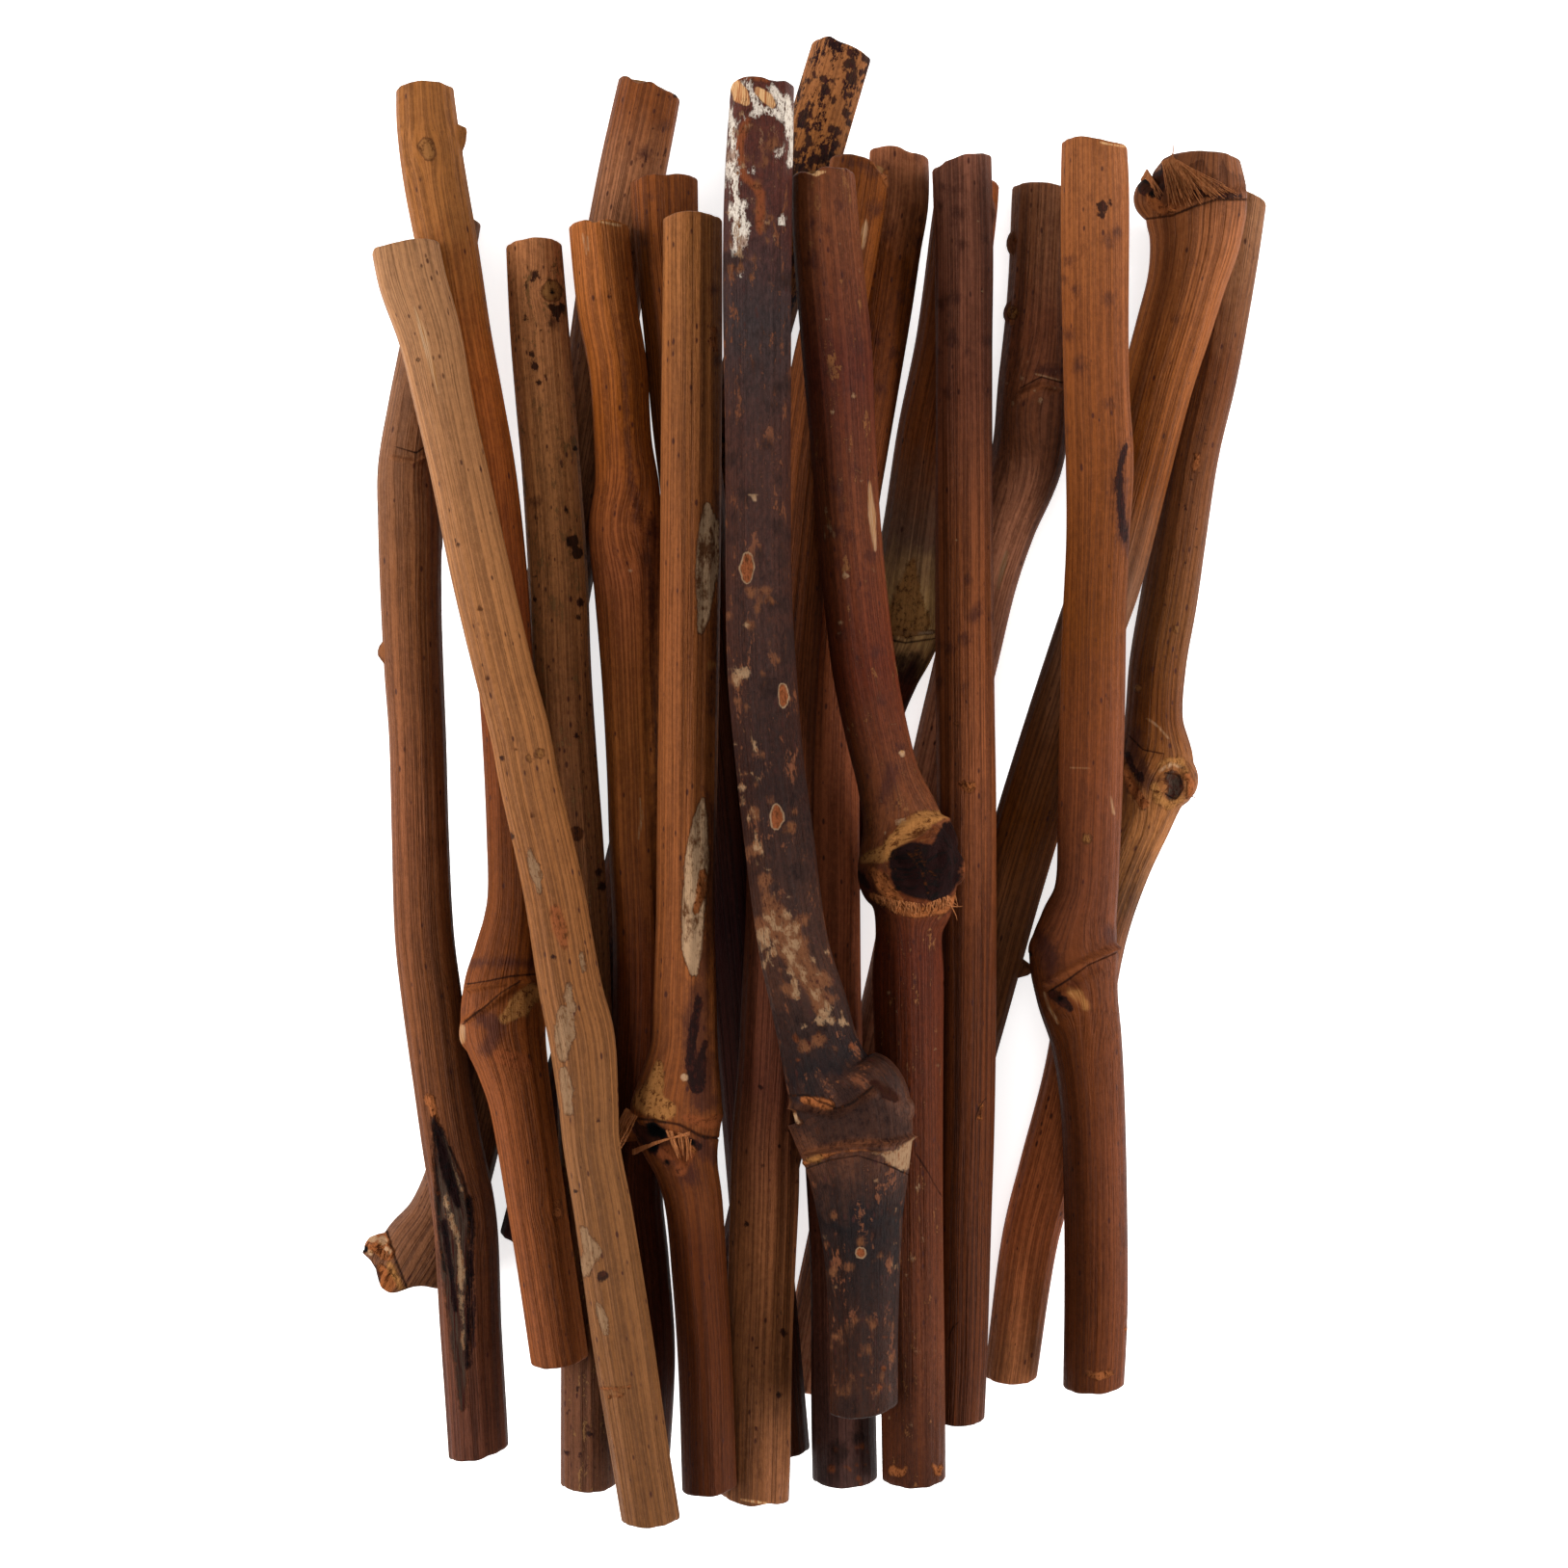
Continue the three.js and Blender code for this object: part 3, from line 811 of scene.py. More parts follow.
    def grow(self, middle, across, side, rise, worn):
        """How much further out each vertex lies than its section says, for its lumps and worn rims."""
        reach = np.hypot(side, rise)
        ray = across * (side / reach)[:, None]
        ray[:, 2] = rise / reach
        out = reach * worn
        for x, y, long, half, turn, lift in self.lumps:
            height = self.run.height(y)
            scale = scale_at(height)
            spot = np.array([*place(x, y, height), height + lift * scale])
            angle = math.radians(turn)
            frame_rows = np.array(
                [[math.cos(angle), math.sin(angle), 0], [-math.sin(angle), math.cos(angle), 0], [0, 0, 1]]
            )
            size = np.array([long, half, half]) * scale
            start = (middle - spot) @ frame_rows.T / size
            step = ray @ frame_rows.T / size
            a = (step * step).sum(1)
            b = (start * step).sum(1)
            c = (start * start).sum(1) - 1
            inside = b * b - a * c
            leaves = np.where(inside > 0, (np.sqrt(np.maximum(inside, 0)) - b) / a, 0)
            melt = self.sizes.melt
            blend = np.maximum(melt - np.abs(out - leaves), 0) ** 2 / (4 * melt)
            out = np.where(leaves > 0, np.maximum(out, leaves) + blend, out)
        return out / reach

    def slide(self, side, wide, along, inward):
        """How far the saw cuts' slant, arch, chips and roughness move each vertex along the twig."""
        total = np.zeros_like(side)
        ends = ((self.cuts[0], along, 1), (self.cuts[1], self.run.length - along, -1))
        for end, (cut, away, sign) in enumerate(ends):
            near = np.exp(-((away / (SLANT_REACH * MM)) ** 2))
            sharp = np.exp(-((away / (RIM_REACH * MM)) ** 2))
            slant = cut / self.run.usual * side
            arch = self.sizes.arch * (side / wide) ** 2 * sign
            rough = ripple(self.rng, self.turn, inward * 3, (2, 9), 2.0) * CUT_ROUGHNESS * MM * sign
            total += (slant + arch) * near + rough * sharp
            for chip_end, where, half, depth in self.chips:
                if chip_end == end:
                    gone = np.exp(-(((side / wide - where) / half) ** 2)) * (np.sin(self.turn) > -0.2)
                    total += gone * depth * MM * sign * sharp
        return total

    # The marks

    def fields(self):
        """How far inside each kind of mark every vertex is."""
        x, y = plan_point(*self.base.T)
        upper = (np.sin(self.turn) + 0.3) * 4
        made = {}
        for kind, chains in self.chains.items():
            best = np.full_like(x, FARTHEST)
            for chain, round_it in chains:
                depth = depth_in(chain, x, y)
                best = np.maximum(best, depth if round_it else np.minimum(depth, upper))
            self.scatter_below(kind, chains, best)
            made[kind] = np.clip(best, FARTHEST, DEEPEST)
        return made

    def beside(self, x, y):
        """How many half widths each plan point lies to one side of the nearest crease."""
        best = np.full_like(x, 1 / UNIT)
        for chain, round_it in self.chains["line"]:
            for start, end in zip(chain, chain[1:]):
                share, apart, side = nearest(x, y, start, end)
                off = side * apart / (start[2] + (end[2] - start[2]) * share)
                best = np.where(np.abs(off) < np.abs(best), off, best)
        return np.clip(best, -40, 40)

    def scatter_below(self, kind, chains, best):
        """The underside has a few marks of the same kinds and sizes, at other places."""
        if kind in ("ridge", "fibre", "line"):
            return
        radius = self.run.usual * UNIT / 2 / MM
        for chain, round_it in chains[:MARKS_BELOW]:
            if round_it:
                continue
            where, angle = self.rng.uniform(0.06, 0.94), self.rng.uniform(-2.4, -0.8)
            size = chain[:, 2].max() * UNIT / MM * 0.8
            long = size + np.ptp(chain[:, 1]) * UNIT / MM * 0.4
            aside = (np.angle(np.exp(1j * (self.turn - angle)))) * radius
            off = (self.share - where) * self.run.length / MM
            apart = np.hypot(aside / size, off / long)
            np.maximum(best, np.where(self.inward > 0.99, (1 - apart) * size, FARTHEST), out=best)

    def relief(self, fields):
        """Millimetres that each vertex is raised above the plain stick."""
        sizes, rng = self.sizes, self.rng
        side = self.inward > 0.99
        rise = ripple(rng, self.turn, self.along, (1, 4), 0.05) * sizes.wobble / MM
        rise += ripple(rng, self.turn, self.along, (11, 19), 0.25) * sizes.ribs / MM
        rough = ripple(rng, self.turn, self.along, (7, 24), 0.0035, 14)
        for kind, depth in fields.items():
            mark = MARKS[kind]
            rise += mark.relief * smooth_step(depth, 0, mark.reach)
            rise += mark.broken * rough * smooth_step(depth, -0.2, 0.6)
        return np.where(side, rise, 0)

    def grain(self):
        """The straightened place of each vertex in millimetres, with the grain run round the knots."""
        straight = self.even / MM
        x, y = plan_point(*self.base.T)
        for fx, fy, reach, strength in self.flows:
            near = np.exp(-(((x - fx) ** 2 + (y - fy) ** 2) / reach**2)) * (np.sin(self.turn) > 0)
            straight[:, 0] -= (x - fx) * UNIT / MM * near * strength
        straight[:, 2] += self.rng.uniform(0, 900)
        return straight

    def loose_fibres(self, kinds):
        """One mesh of all the loose fibres, tapered to their tips."""
        curve = bpy.data.curves.new(self.node + "_fibres", "CURVE")
        curve.dimensions = "3D"
        curve.bevel_depth = 1
        curve.bevel_resolution = 0
        curve.resolution_u = 4
        curve.use_fill_caps = True
        for thick, places in self.strands:
            spline = curve.splines.new("NURBS")
            spline.points.add(len(places) - 1)
            spline.use_endpoint_u = True
            spline.order_u = 3
            for index, (point, spot) in enumerate(zip(spline.points, places)):
                point.co = (*spot, 1)
                point.radius = thick / 2 * (1 - 0.75 * index / (len(places) - 1))
        loose = bpy.data.objects.new(curve.name, curve)
        bpy.context.scene.collection.objects.link(loose)
        deselect()
        loose.select_set(True)
        bpy.context.view_layer.objects.active = loose
        bpy.ops.object.convert(target="MESH")
        loose = bpy.context.object
        places = corner_array(loose.data) / MM
        keep_field(loose.data, "stick", places[:, [0, 2, 1]])
        for name in ("share", "cut"):
            keep_field(loose.data, name, np.zeros(len(places)))
        for kind in kinds:
            keep_field(loose.data, kind, np.full(len(places), DEEPEST if kind == "fibre" else FARTHEST))
        return loose

    def finish(self, context, slot, wood):
        """Makes the piece: shape, fields, fibres and material."""
        if self.strands:
            self.chains.setdefault("fibre", [])
        self.bend()
        fields = self.fields()
        places = self.base + self.outward * (self.relief(fields) * MM)[:, None]
        mesh = self.stick.data.copy()
        mesh.vertices.foreach_set("co", places.astype(np.float32).ravel())
        kinds = [kind for kind in MARKS if kind in fields]
        keep_field(mesh, "stick", self.grain())
        keep_field(mesh, "share", self.share)
        keep_field(mesh, "cut", self.cap * np.where(self.share < 0.5, *self.sawn))
        for kind in kinds:
            keep_field(mesh, kind, fields[kind])
        if "line" in kinds:
            keep_field(mesh, "beside", self.beside(*plan_point(*self.base.T)))
        name = self.node.replace("_twig", "_wood")
        mesh.name = name
        piece = bpy.data.objects.new(name, mesh)
        context.scene.collection.objects.link(piece)
        if self.strands:
            loose = self.loose_fibres(kinds)
            deselect()
            loose.select_set(True)
            piece.select_set(True)
            context.view_layer.objects.active = piece
            bpy.ops.object.join()
        mesh.materials.clear()
        mesh.materials.append(wood_material(name, wood, kinds, context.scene.twig_colours, self.run))
        mesh.update()
        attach(piece, "root")
        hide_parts(self.node)
        return {"FINISHED"}


class Twig:
    """What the twigs' operators share."""

    bl_options = {"REGISTER", "UNDO"}
    cuts = (0, 0)

    def start(self, context):
        """The twig as a straight stick, with nothing on it yet."""
        stick = bpy.data.objects.get("straight_stick") or straight_stick(context.scene.twig_sizes)
        return Growing(context, self.spine, self.cuts, self.node, stick)


class TWIGS_OT_slanted_tan(Twig, bpy.types.Operator):
    """Pale tan twig that lies slanted on top at the left, with ring pores and grey crusts"""

    bl_idname = "twigs.slanted_tan"
    bl_label = "Slanted Tan Twig"
    node = "slanted_tan_twig"
    cuts = (0, 6)
    spine = [
        (420, 252, 70), (428, 290, 70), (446, 348, 65), (461, 420, 60), (476, 487, 59),
        (499, 594, 61), (524, 701, 61), (539, 760, 62), (549, 814, 62), (573, 921, 62),
        (592, 1028, 64), (603, 1075, 67), (610, 1140, 62), (613, 1185, 59), (626, 1262, 62),
        (645, 1385, 64), (664, 1507, 60), (676, 1582, 60),
    ]

    def execute(self, context):
        twig = self.start(context)
        twig.chip(0, -0.85, 0.25, -0.5)
        twig.spots("pore", (434, 373, 3), (475, 566, 3), (498, 631, 3.5), (506, 703, 3), (552, 846, 3),
                   (535, 777, 2))
        twig.spots("pale", (434, 373, 1.2), (498, 631, 1.2))
        twig.spots("blotch", (625, 1325, 6), (620, 1162, 3), (598, 1237, 3), (520, 787, 3), (531, 868, 3),
                   (574, 993, 3))
        twig.spots("knot", (560, 782, 5), (549, 787, 3))
        twig.stroke("streak", (430, 318, 1), (440, 350, 4), (455, 408, 1))
        twig.stroke("streak", (507, 800, 2), (518, 828, 2))
        twig.stroke("crust", (548, 880, 2), (556, 905, 6), (560, 925, 2))
        twig.stroke("rust", (576, 945, 6), (580, 962, 9), (586, 982, 4))
        twig.stroke("crust", (603, 992, 2), (606, 1008, 2))
        twig.stroke("crust", (591, 1018, 1), (590, 1035, 4), (594, 1046, 4))
        twig.stroke("crust", (586, 1052, 8), (586, 1072, 11), (584, 1094, 6))
        twig.stroke("crust", (584, 1112, 4), (588, 1132, 8), (590, 1152, 4))
        twig.stroke("crust", (606, 1275, 3), (614, 1300, 9), (606, 1318, 7))
        twig.stroke("crust", (618, 1352, 2), (626, 1368, 6), (628, 1384, 3))
        twig.stroke("torn", (624, 1440, 1.5), (640, 1442, 2.5), (653, 1439, 1.5))
        twig.stroke("torn", (632, 1449, 2), (646, 1448, 1.5))
        wood = Wood(
            [(300, (159, 113, 77)), (660, (149, 98, 59)), (960, (130, 82, 47)), (1220, (123, 81, 49)),
             (1520, (116, 75, 45))],
            lines=0.4, patchy=0.35, specks=0.35, grit=0.25,
        )
        return twig.finish(context, "tan_wood", wood)


class TWIGS_OT_orange_knuckled(Twig, bpy.types.Operator):
    """Orange-brown twig with a creased knuckle at its middle and a broken bud near its top"""

    bl_idname = "twigs.orange_knuckled"
    bl_label = "Orange Knuckled Twig"
    node = "orange_knuckled_twig"
    cuts = (2, 0)
    spine = [
        (440, 87, 60), (443, 130, 64), (451, 187, 66), (466, 268, 64), (479, 348, 63),
        (493, 420, 62), (504, 487, 62), (516, 594, 60), (523, 680, 58), (529, 760, 58),
        (534, 860, 60), (535, 940, 62), (529, 988, 74), (523, 1025, 84), (522, 1065, 87),
        (531, 1105, 74), (539, 1140, 66), (558, 1262, 62), (582, 1417, 60),
    ]

    def execute(self, context):
        twig = self.start(context)
        twig.lump(476, 144, 15, 8, 75, 2)
        twig.lump(489, 1072, 16, 11, 80, 4)
        twig.spots("knot", (442, 152, 8), (445, 159, 6))
        twig.spots("torn", (577, 1249, 4), (578, 1258, 5))
        twig.spots("dent", (486, 141, 4), (484, 160, 3))
        twig.flow(442, 155, 22)
        twig.flow(577, 1253, 18)
        twig.ring("stain", (490, 1000, 3), (520, 998, 5), (552, 1000, 3))
        twig.ring("ridge", (486, 1027, 4), (515, 1021, 4), (552, 1018, 5))
        twig.ring("line", (486, 1021, 0.8), (505, 1018, 0.8), (530, 1013, 1), (555, 1011, 1))
        twig.stroke("ridge", (533, 1022, 4), (506, 1044, 4), (484, 1058, 4))
        twig.ring("line", (538, 1018, 0.8), (520, 1030, 1), (503, 1046, 1), (482, 1062, 0.8))
        twig.stroke("flaxen", (526, 1056, 7), (538, 1044, 12), (552, 1030, 10))
        twig.stroke("stain", (500, 1056, 8), (516, 1066, 10), (505, 1088, 8))
        twig.stroke("streak", (480, 1066, 3), (480, 1080, 3))
        twig.stroke("rust", (520, 1095, 8), (545, 1105, 10))
        wood = Wood(
            [(230, (146, 92, 49)), (400, (163, 88, 42)), (620, (119, 60, 33)), (900, (103, 55, 26)),
             (1120, (126, 69, 37)), (1370, (122, 68, 38))],
            lines=0.35, patchy=0.4, specks=0.2, grit=0.3,
        )
        return twig.finish(context, "orange_wood", wood)


class TWIGS_OT_left_russet(Twig, bpy.types.Operator):
    """Reddish twig at the far left, with a long grey weathered scar"""

    bl_idname = "twigs.left_russet"
    bl_label = "Left Russet Twig"
    node = "left_russet_twig"
    cuts = (0, -8)
    spine = [
        (471, 222, 58), (457, 300, 59), (442, 375, 60), (434, 420, 62), (425, 487, 66),
        (426, 540, 67), (427, 621, 63), (430, 701, 61), (433, 760, 59), (436, 867, 59),
        (441, 974, 61), (449, 1041, 62), (461, 1135, 60), (468, 1180, 61), (482, 1262, 65),
        (488, 1385, 63), (496, 1512, 62),
    ]

    def execute(self, context):
        twig = self.start(context)
        twig.lump(397, 677, 8, 5, 90, 2)
        twig.ring("line", (412, 464, 0.6), (432, 470, 1), (442, 463, 0.8))
        twig.ring("ridge", (408, 475, 3), (432, 480, 3), (446, 472, 3))
        twig.stroke("dent", (459, 570, 2), (460, 600, 3), (460, 620, 1))
        twig.stroke("torn", (446, 1140, 5), (449, 1152, 4), (455, 1175, 3))
        twig.stroke("weathered", (450, 1162, 3), (458, 1190, 7), (468, 1235, 14), (470, 1270, 16),
                    (473, 1330, 11), (478, 1400, 8), (480, 1462, 2))
        twig.stroke("blotch", (451, 1166, 3), (460, 1195, 7), (470, 1232, 13), (468, 1270, 11),
                    (470, 1330, 5),
                    (478, 1400, 3), (480, 1450, 2))
        twig.stroke("blotch", (488, 1290, 2), (492, 1350, 2), (488, 1420, 1.5))
        twig.stroke("char", (451, 1164, 3), (457, 1188, 6), (466, 1222, 7), (474, 1250, 4))
        twig.stroke("char", (486, 1244, 4), (490, 1280, 3), (487, 1340, 2.5), (484, 1420, 2))
        twig.stroke("char", (460, 1268, 3), (466, 1310, 3), (472, 1360, 2))
        twig.stroke("peeled", (460, 1236, 1), (466, 1256, 2), (475, 1290, 3), (479, 1340, 3),
                    (480, 1400, 1))
        twig.stroke("peeled", (458, 1182, 1), (470, 1214, 1.5), (480, 1236, 1))
        twig.stroke("line", (450, 1168, 1.2), (451, 1200, 1.4), (455, 1240, 1.6), (456, 1280, 1.2),
                    (462, 1320, 1))
        twig.stroke("line", (466, 1190, 1.2), (480, 1220, 1.6), (488, 1256, 1.6), (486, 1290, 1.4),
                    (484, 1350, 1))
        twig.flow(470, 1260, 30, 0.4)
        wood = Wood(
            [(430, (127, 85, 59)), (600, (124, 77, 47)), (850, (126, 75, 47)), (1060, (112, 66, 39)),
             (1470, (92, 54, 40))],
            lines=0.4, patchy=0.45, specks=0.2, grit=0.3,
        )
        return twig.finish(context, "red_wood", wood)


class TWIGS_OT_hooked(Twig, bpy.types.Operator):
    """Thick speckled twig that ends in a broken hook at the lower left"""

    bl_idname = "twigs.hooked"
    bl_label = "Hooked Twig"
    node = "hooked_twig"
    cuts = (10, -12)
    spine = [
        (675, 86, 66), (656, 178, 69), (634, 297, 69), (622, 380, 69), (595, 530, 68),
        (578, 616, 68), (566, 700, 68), (557, 780, 68), (549, 860, 68), (541, 931, 68),
        (526, 1001, 68), (511, 1065, 68), (497, 1130, 68), (482, 1195, 68), (471, 1235, 71),
        (460, 1268, 82), (443, 1299, 96), (427, 1326, 92),
    ]

    def execute(self, context):
        twig = self.start(context)
        twig.sawn = (1, 0)
        twig.lump(394, 1297, 19, 15, 60, 8)
        twig.chip(1, -0.2, 0.3, -2.6)
        twig.chip(1, -0.55, 0.25, -1.8)
        twig.chip(0, -0.35, 0.3, 1.0)
        twig.chip(0, 0.45, 0.3, 0.5)
        twig.scatter("blotch", 26, 90, 230, (0.8, 2.4), (0, 0.48))
        twig.spots("stain", (668, 160, 7), (690, 130, 5))
        twig.stroke("torn", (382, 1290, 8), (394, 1288, 11), (402, 1300, 8))
        twig.spots("pale", (386, 1284, 5), (397, 1287, 5), (402, 1298, 4), (384, 1300, 3))
        twig.spots("hole", (379, 1296, 3))
        twig.stroke("blotch", (384, 1316, 7), (392, 1326, 9), (398, 1334, 6))
        twig.stroke("torn", (396, 1316, 4), (404, 1330, 8), (398, 1342, 7))
        twig.stroke("flaxen", (404, 1312, 3), (412, 1328, 3.5), (422, 1346, 3))
        twig.stroke("pale", (388, 1346, 2), (404, 1350, 3), (420, 1349, 2))
        twig.ring("line", (402, 1278, 1.2), (410, 1306, 1.4), (426, 1346, 1.2))
        twig.fringe(60, 0.3, [(384, 1284), (396, 1284), (402, 1296)], [(382, 1296), (390, 1304),
                    (402, 1308)],
                    (0.1, 0.7), 2)
        wood = Wood(
            [(110, (123, 69, 37)), (200, (162, 106, 72)), (600, (90, 54, 34)), (1280, (113, 73, 50))],
            lines=0.5, patchy=0.4, specks=0.6, grit=0.35,
        )
        return twig.finish(context, "brown_wood", wood)


class TWIGS_OT_speckled(Twig, bpy.types.Operator):
    """Brown twig with dark specks and an eye knot near its top"""

    bl_idname = "twigs.speckled"
    bl_label = "Speckled Twig"
    node = "speckled_twig"
    spine = [
        (554, 249, 58), (560, 348, 61), (566, 420, 61), (572, 487, 60), (580, 594, 61),
        (584, 701, 61), (590, 800, 61), (595, 867, 61), (602, 974, 60), (607, 1100, 59),
        (610, 1250, 58), (611, 1400, 57), (611, 1546, 56),
    ]

    def execute(self, context):
        twig = self.start(context)
        twig.spots("knot", (572, 302, 10))
        twig.spots("hole", (572, 303, 3))
        twig.stroke("blotch", (572, 318, 2), (578, 326, 4), (582, 318, 3))
        twig.flow(572, 302, 20)
        twig.spots("blotch", (556, 284, 4), (553, 290, 2), (552, 368, 3), (555, 380, 4), (559, 396, 4),
                   (566, 390, 3),
                   (595, 562, 6), (599, 574, 6), (603, 625, 4), (600, 640, 4), (625, 920, 5), (622, 905, 4))
        twig.spots("pore", (598, 865, 8))
        twig.spots("stain", (598, 865, 4), (575, 335, 6), (555, 520, 5))
        twig.scatter("blotch", 42, 260, 1000, (0.8, 2.6))
        twig.scatter("rust", 10, 400, 600, (0.8, 2.0))
        twig.scatter("blotch", 26, 1420, 1540, (0.8, 3.0))
        wood = Wood(
            [(290, (186, 120, 76)), (480, (184, 121, 74)), (700, (148, 94, 58)), (900, (124, 78, 50)),
             (1480, (98, 62, 44))],
            lines=0.35, patchy=0.5, flake=(128, 90, 56), flaky=0.3,
            specks=0.8, grit=0.4,
        )
        return twig.finish(context, "brown_wood", wood)


class TWIGS_OT_amber(Twig, bpy.types.Operator):
    """Amber twig with dark grooves and a smooth swelling"""

    bl_idname = "twigs.amber"
    bl_label = "Amber Twig"
    node = "amber_twig"
    cuts = (6, 0)
    spine = [
        (621, 229, 62), (631, 321, 63), (641, 380, 61), (646, 460, 60), (650, 505, 67),
        (649, 546, 76), (652, 621, 68), (655, 701, 61), (659, 800, 60), (661, 867, 60),
        (666, 974, 60), (666, 1055, 60), (661, 1150, 60), (657, 1232, 60), (663, 1311, 62),
        (668, 1403, 64), (660, 1537, 66),
    ]

    def execute(self, context):
        twig = self.start(context)
        twig.chip(0, -0.1, 0.2, 0.7)
        twig.stroke("streak", (604, 242, 0.8), (609, 264, 0.8))
        twig.stroke("streak", (610, 244, 0.8), (611, 260, 0.8))
        twig.stroke("chip", (622, 230, 1), (644, 234, 1.5))
        twig.spots("pale", (654, 592, 2))
        twig.spots("dent", (633, 305, 3))
        twig.spots("blotch", (633, 307, 1.5))
        twig.stroke("stain", (646, 330, 1), (650, 420, 2), (656, 500, 3), (664, 540, 5))
        twig.stroke("stain", (676, 540, 5), (674, 580, 3), (680, 700, 3), (686, 900, 4))
        twig.stroke("streak", (664, 828, 0.8), (666, 848, 1.2), (662, 872, 0.8))
        twig.flow(680, 545, 45, 0.5)
        wood = Wood(
            [(280, (167, 98, 51)), (430, (148, 81, 35)), (600, (154, 86, 51)), (760, (165, 96, 49)),
             (1000, (96, 48, 20)), (1400, (69, 37, 16))],
            lines=0.5, patchy=0.35, specks=0.2, grit=0.3,
        )
        return twig.finish(context, "orange_wood", wood)


class TWIGS_OT_scarred_knuckled(Twig, bpy.types.Operator):
    """Brown twig with two pale bark scars and a torn hollow knuckle"""

    bl_idname = "twigs.scarred_knuckled"
    bl_label = "Scarred Knuckled Twig"
    node = "scarred_knuckled_twig"
    cuts = (0, -4)
    spine = [
        (718, 222, 62), (718, 340, 62), (717, 512, 64), (716, 640, 64), (714, 793, 62),
        (712, 940, 61), (711, 1035, 67), (710, 1085, 71), (705, 1128, 88), (702, 1158, 97),
        (706, 1186, 82), (712, 1212, 66), (719, 1245, 60), (726, 1329, 57), (731, 1405, 57),
        (736, 1550, 57),
    ]

    def execute(self, context):
        twig = self.start(context)
        twig.lump(654, 1170, 17, 8, 60, 6)
        twig.spots("torn", (741, 343, 4), (740, 355, 5), (742, 362, 3))
        twig.spots("stain", (741, 300, 5), (745, 375, 4))
        twig.stroke("scar", (734, 522, 2), (736, 545, 10), (734, 590, 12), (730, 640, 6), (726, 655, 3))
        twig.stroke("stain", (742, 512, 2), (748, 560, 4), (746, 640, 4), (742, 700, 6), (740, 740, 3))
        twig.spots("patch", (738, 690, 5), (744, 580, 3))
        twig.stroke("stain", (730, 815, 2), (740, 850, 5), (742, 900, 8), (738, 960, 6), (728, 1010, 8))
        twig.stroke("scar", (729, 828, 1), (726, 850, 7), (723, 890, 12), (719, 940, 11), (717, 985, 10),
                    (720, 1010, 4))
        twig.stroke("torn", (728, 905, 3), (727, 925, 5), (722, 945, 4))
        twig.spots("blotch", (733, 905, 2), (727, 935, 2), (722, 965, 2), (729, 915, 1.5),
                   (734, 570, 1.5), (737, 590, 1.5))
        twig.stroke("stain", (724, 1025, 10), (722, 1060, 13), (724, 1100, 16), (730, 1140, 14))
        twig.stroke("blotch", (724, 1036, 4), (716, 1100, 5), (722, 1128, 7), (731, 1080, 3))
        twig.spots("pale", (710, 1118, 4))
        twig.stroke("flaxen", (684, 1104, 3), (681, 1122, 9), (674, 1142, 15), (690, 1152, 11))
        twig.stroke("rust", (712, 1160, 4), (734, 1166, 6), (747, 1162, 7))
        twig.stroke("rust", (690, 1196, 8), (712, 1196, 10), (706, 1214, 6))
        twig.ring("line", (655, 1160, 1.2), (675, 1162, 1.4), (705, 1167, 1.4), (730, 1180, 1.6),
                  (748, 1181, 1.4))
        twig.stroke("stain", (664, 1176, 8), (686, 1186, 14), (706, 1200, 14), (716, 1222, 8))
        twig.stroke("stain", (730, 1190, 10), (742, 1200, 8))
        # Painted shade in the torn hollow: the dent is darkened, and near-black strokes and holes lie in it
        twig.stroke("dent", (666, 1172, 8), (682, 1178, 12), (700, 1190, 12), (710, 1204, 8))
        twig.stroke("torn", (700, 1180, 3), (712, 1188, 5), (720, 1194, 3))
        twig.stroke("blotch", (660, 1168, 4), (670, 1180, 8), (678, 1192, 6))
        twig.stroke("blotch", (714, 1184, 4), (724, 1190, 4))
        twig.spots("hole", (676, 1172, 8), (684, 1176, 7), (678, 1190, 5), (692, 1206, 3), (718, 1186, 3))
        twig.fringe(46, 0.4, [(650, 1150), (662, 1158)], [(630, 1196), (638, 1202)], (0.3, 2.0), 3)
        twig.fringe(16, 0.3, [(688, 1172), (708, 1176), (722, 1186)], [(702, 1200), (710, 1206),
                    (720, 1202)])
        for aside in (0, 1.5, 3):
            twig.strand(0.5, (657, 1197 - aside, 0.2), (680, 1185 - aside, 1.8), (716, 1174 + aside, 1.4))
        wood = Wood(
            [(280, (147, 92, 52)), (430, (132, 80, 46)), (620, (131, 76, 43)), (780, (132, 77, 43)),
             (1000, (139, 80, 44)), (1300, (90, 47, 26)), (1500, (84, 45, 28))],
            lines=0.35, patchy=0.35, specks=0.3, grit=0.3,
        )
        return twig.finish(context, "brown_wood", wood)


class TWIGS_OT_tucked_brown(Twig, bpy.types.Operator):
    """Brown ribbed twig tucked under the scarred one"""

    bl_idname = "twigs.tucked_brown"
    bl_label = "Tucked Brown Twig"
    node = "tucked_brown_twig"
    spine = [
        (689, 182, 68), (692, 250, 66), (701, 340, 66), (710, 436, 66), (719, 512, 66),
        (735, 680, 65), (745, 780, 64), (760, 940, 64), (775, 1100, 63), (790, 1280, 62),
        (803, 1430, 62), (810, 1511, 62),
    ]

    def execute(self, context):
        twig = self.start(context)
        twig.spots("stain", (668, 252, 3), (676, 205, 3))
        twig.chip(0, 0.1, 0.3, 0.4)
        wood = Wood(
            [(205, (123, 67, 32)), (950, (48, 27, 18)), (1480, (80, 46, 33))],
            lines=0.6, patchy=0.35, specks=0.25, grit=0.3,
        )
        return twig.finish(context, "brown_wood", wood)


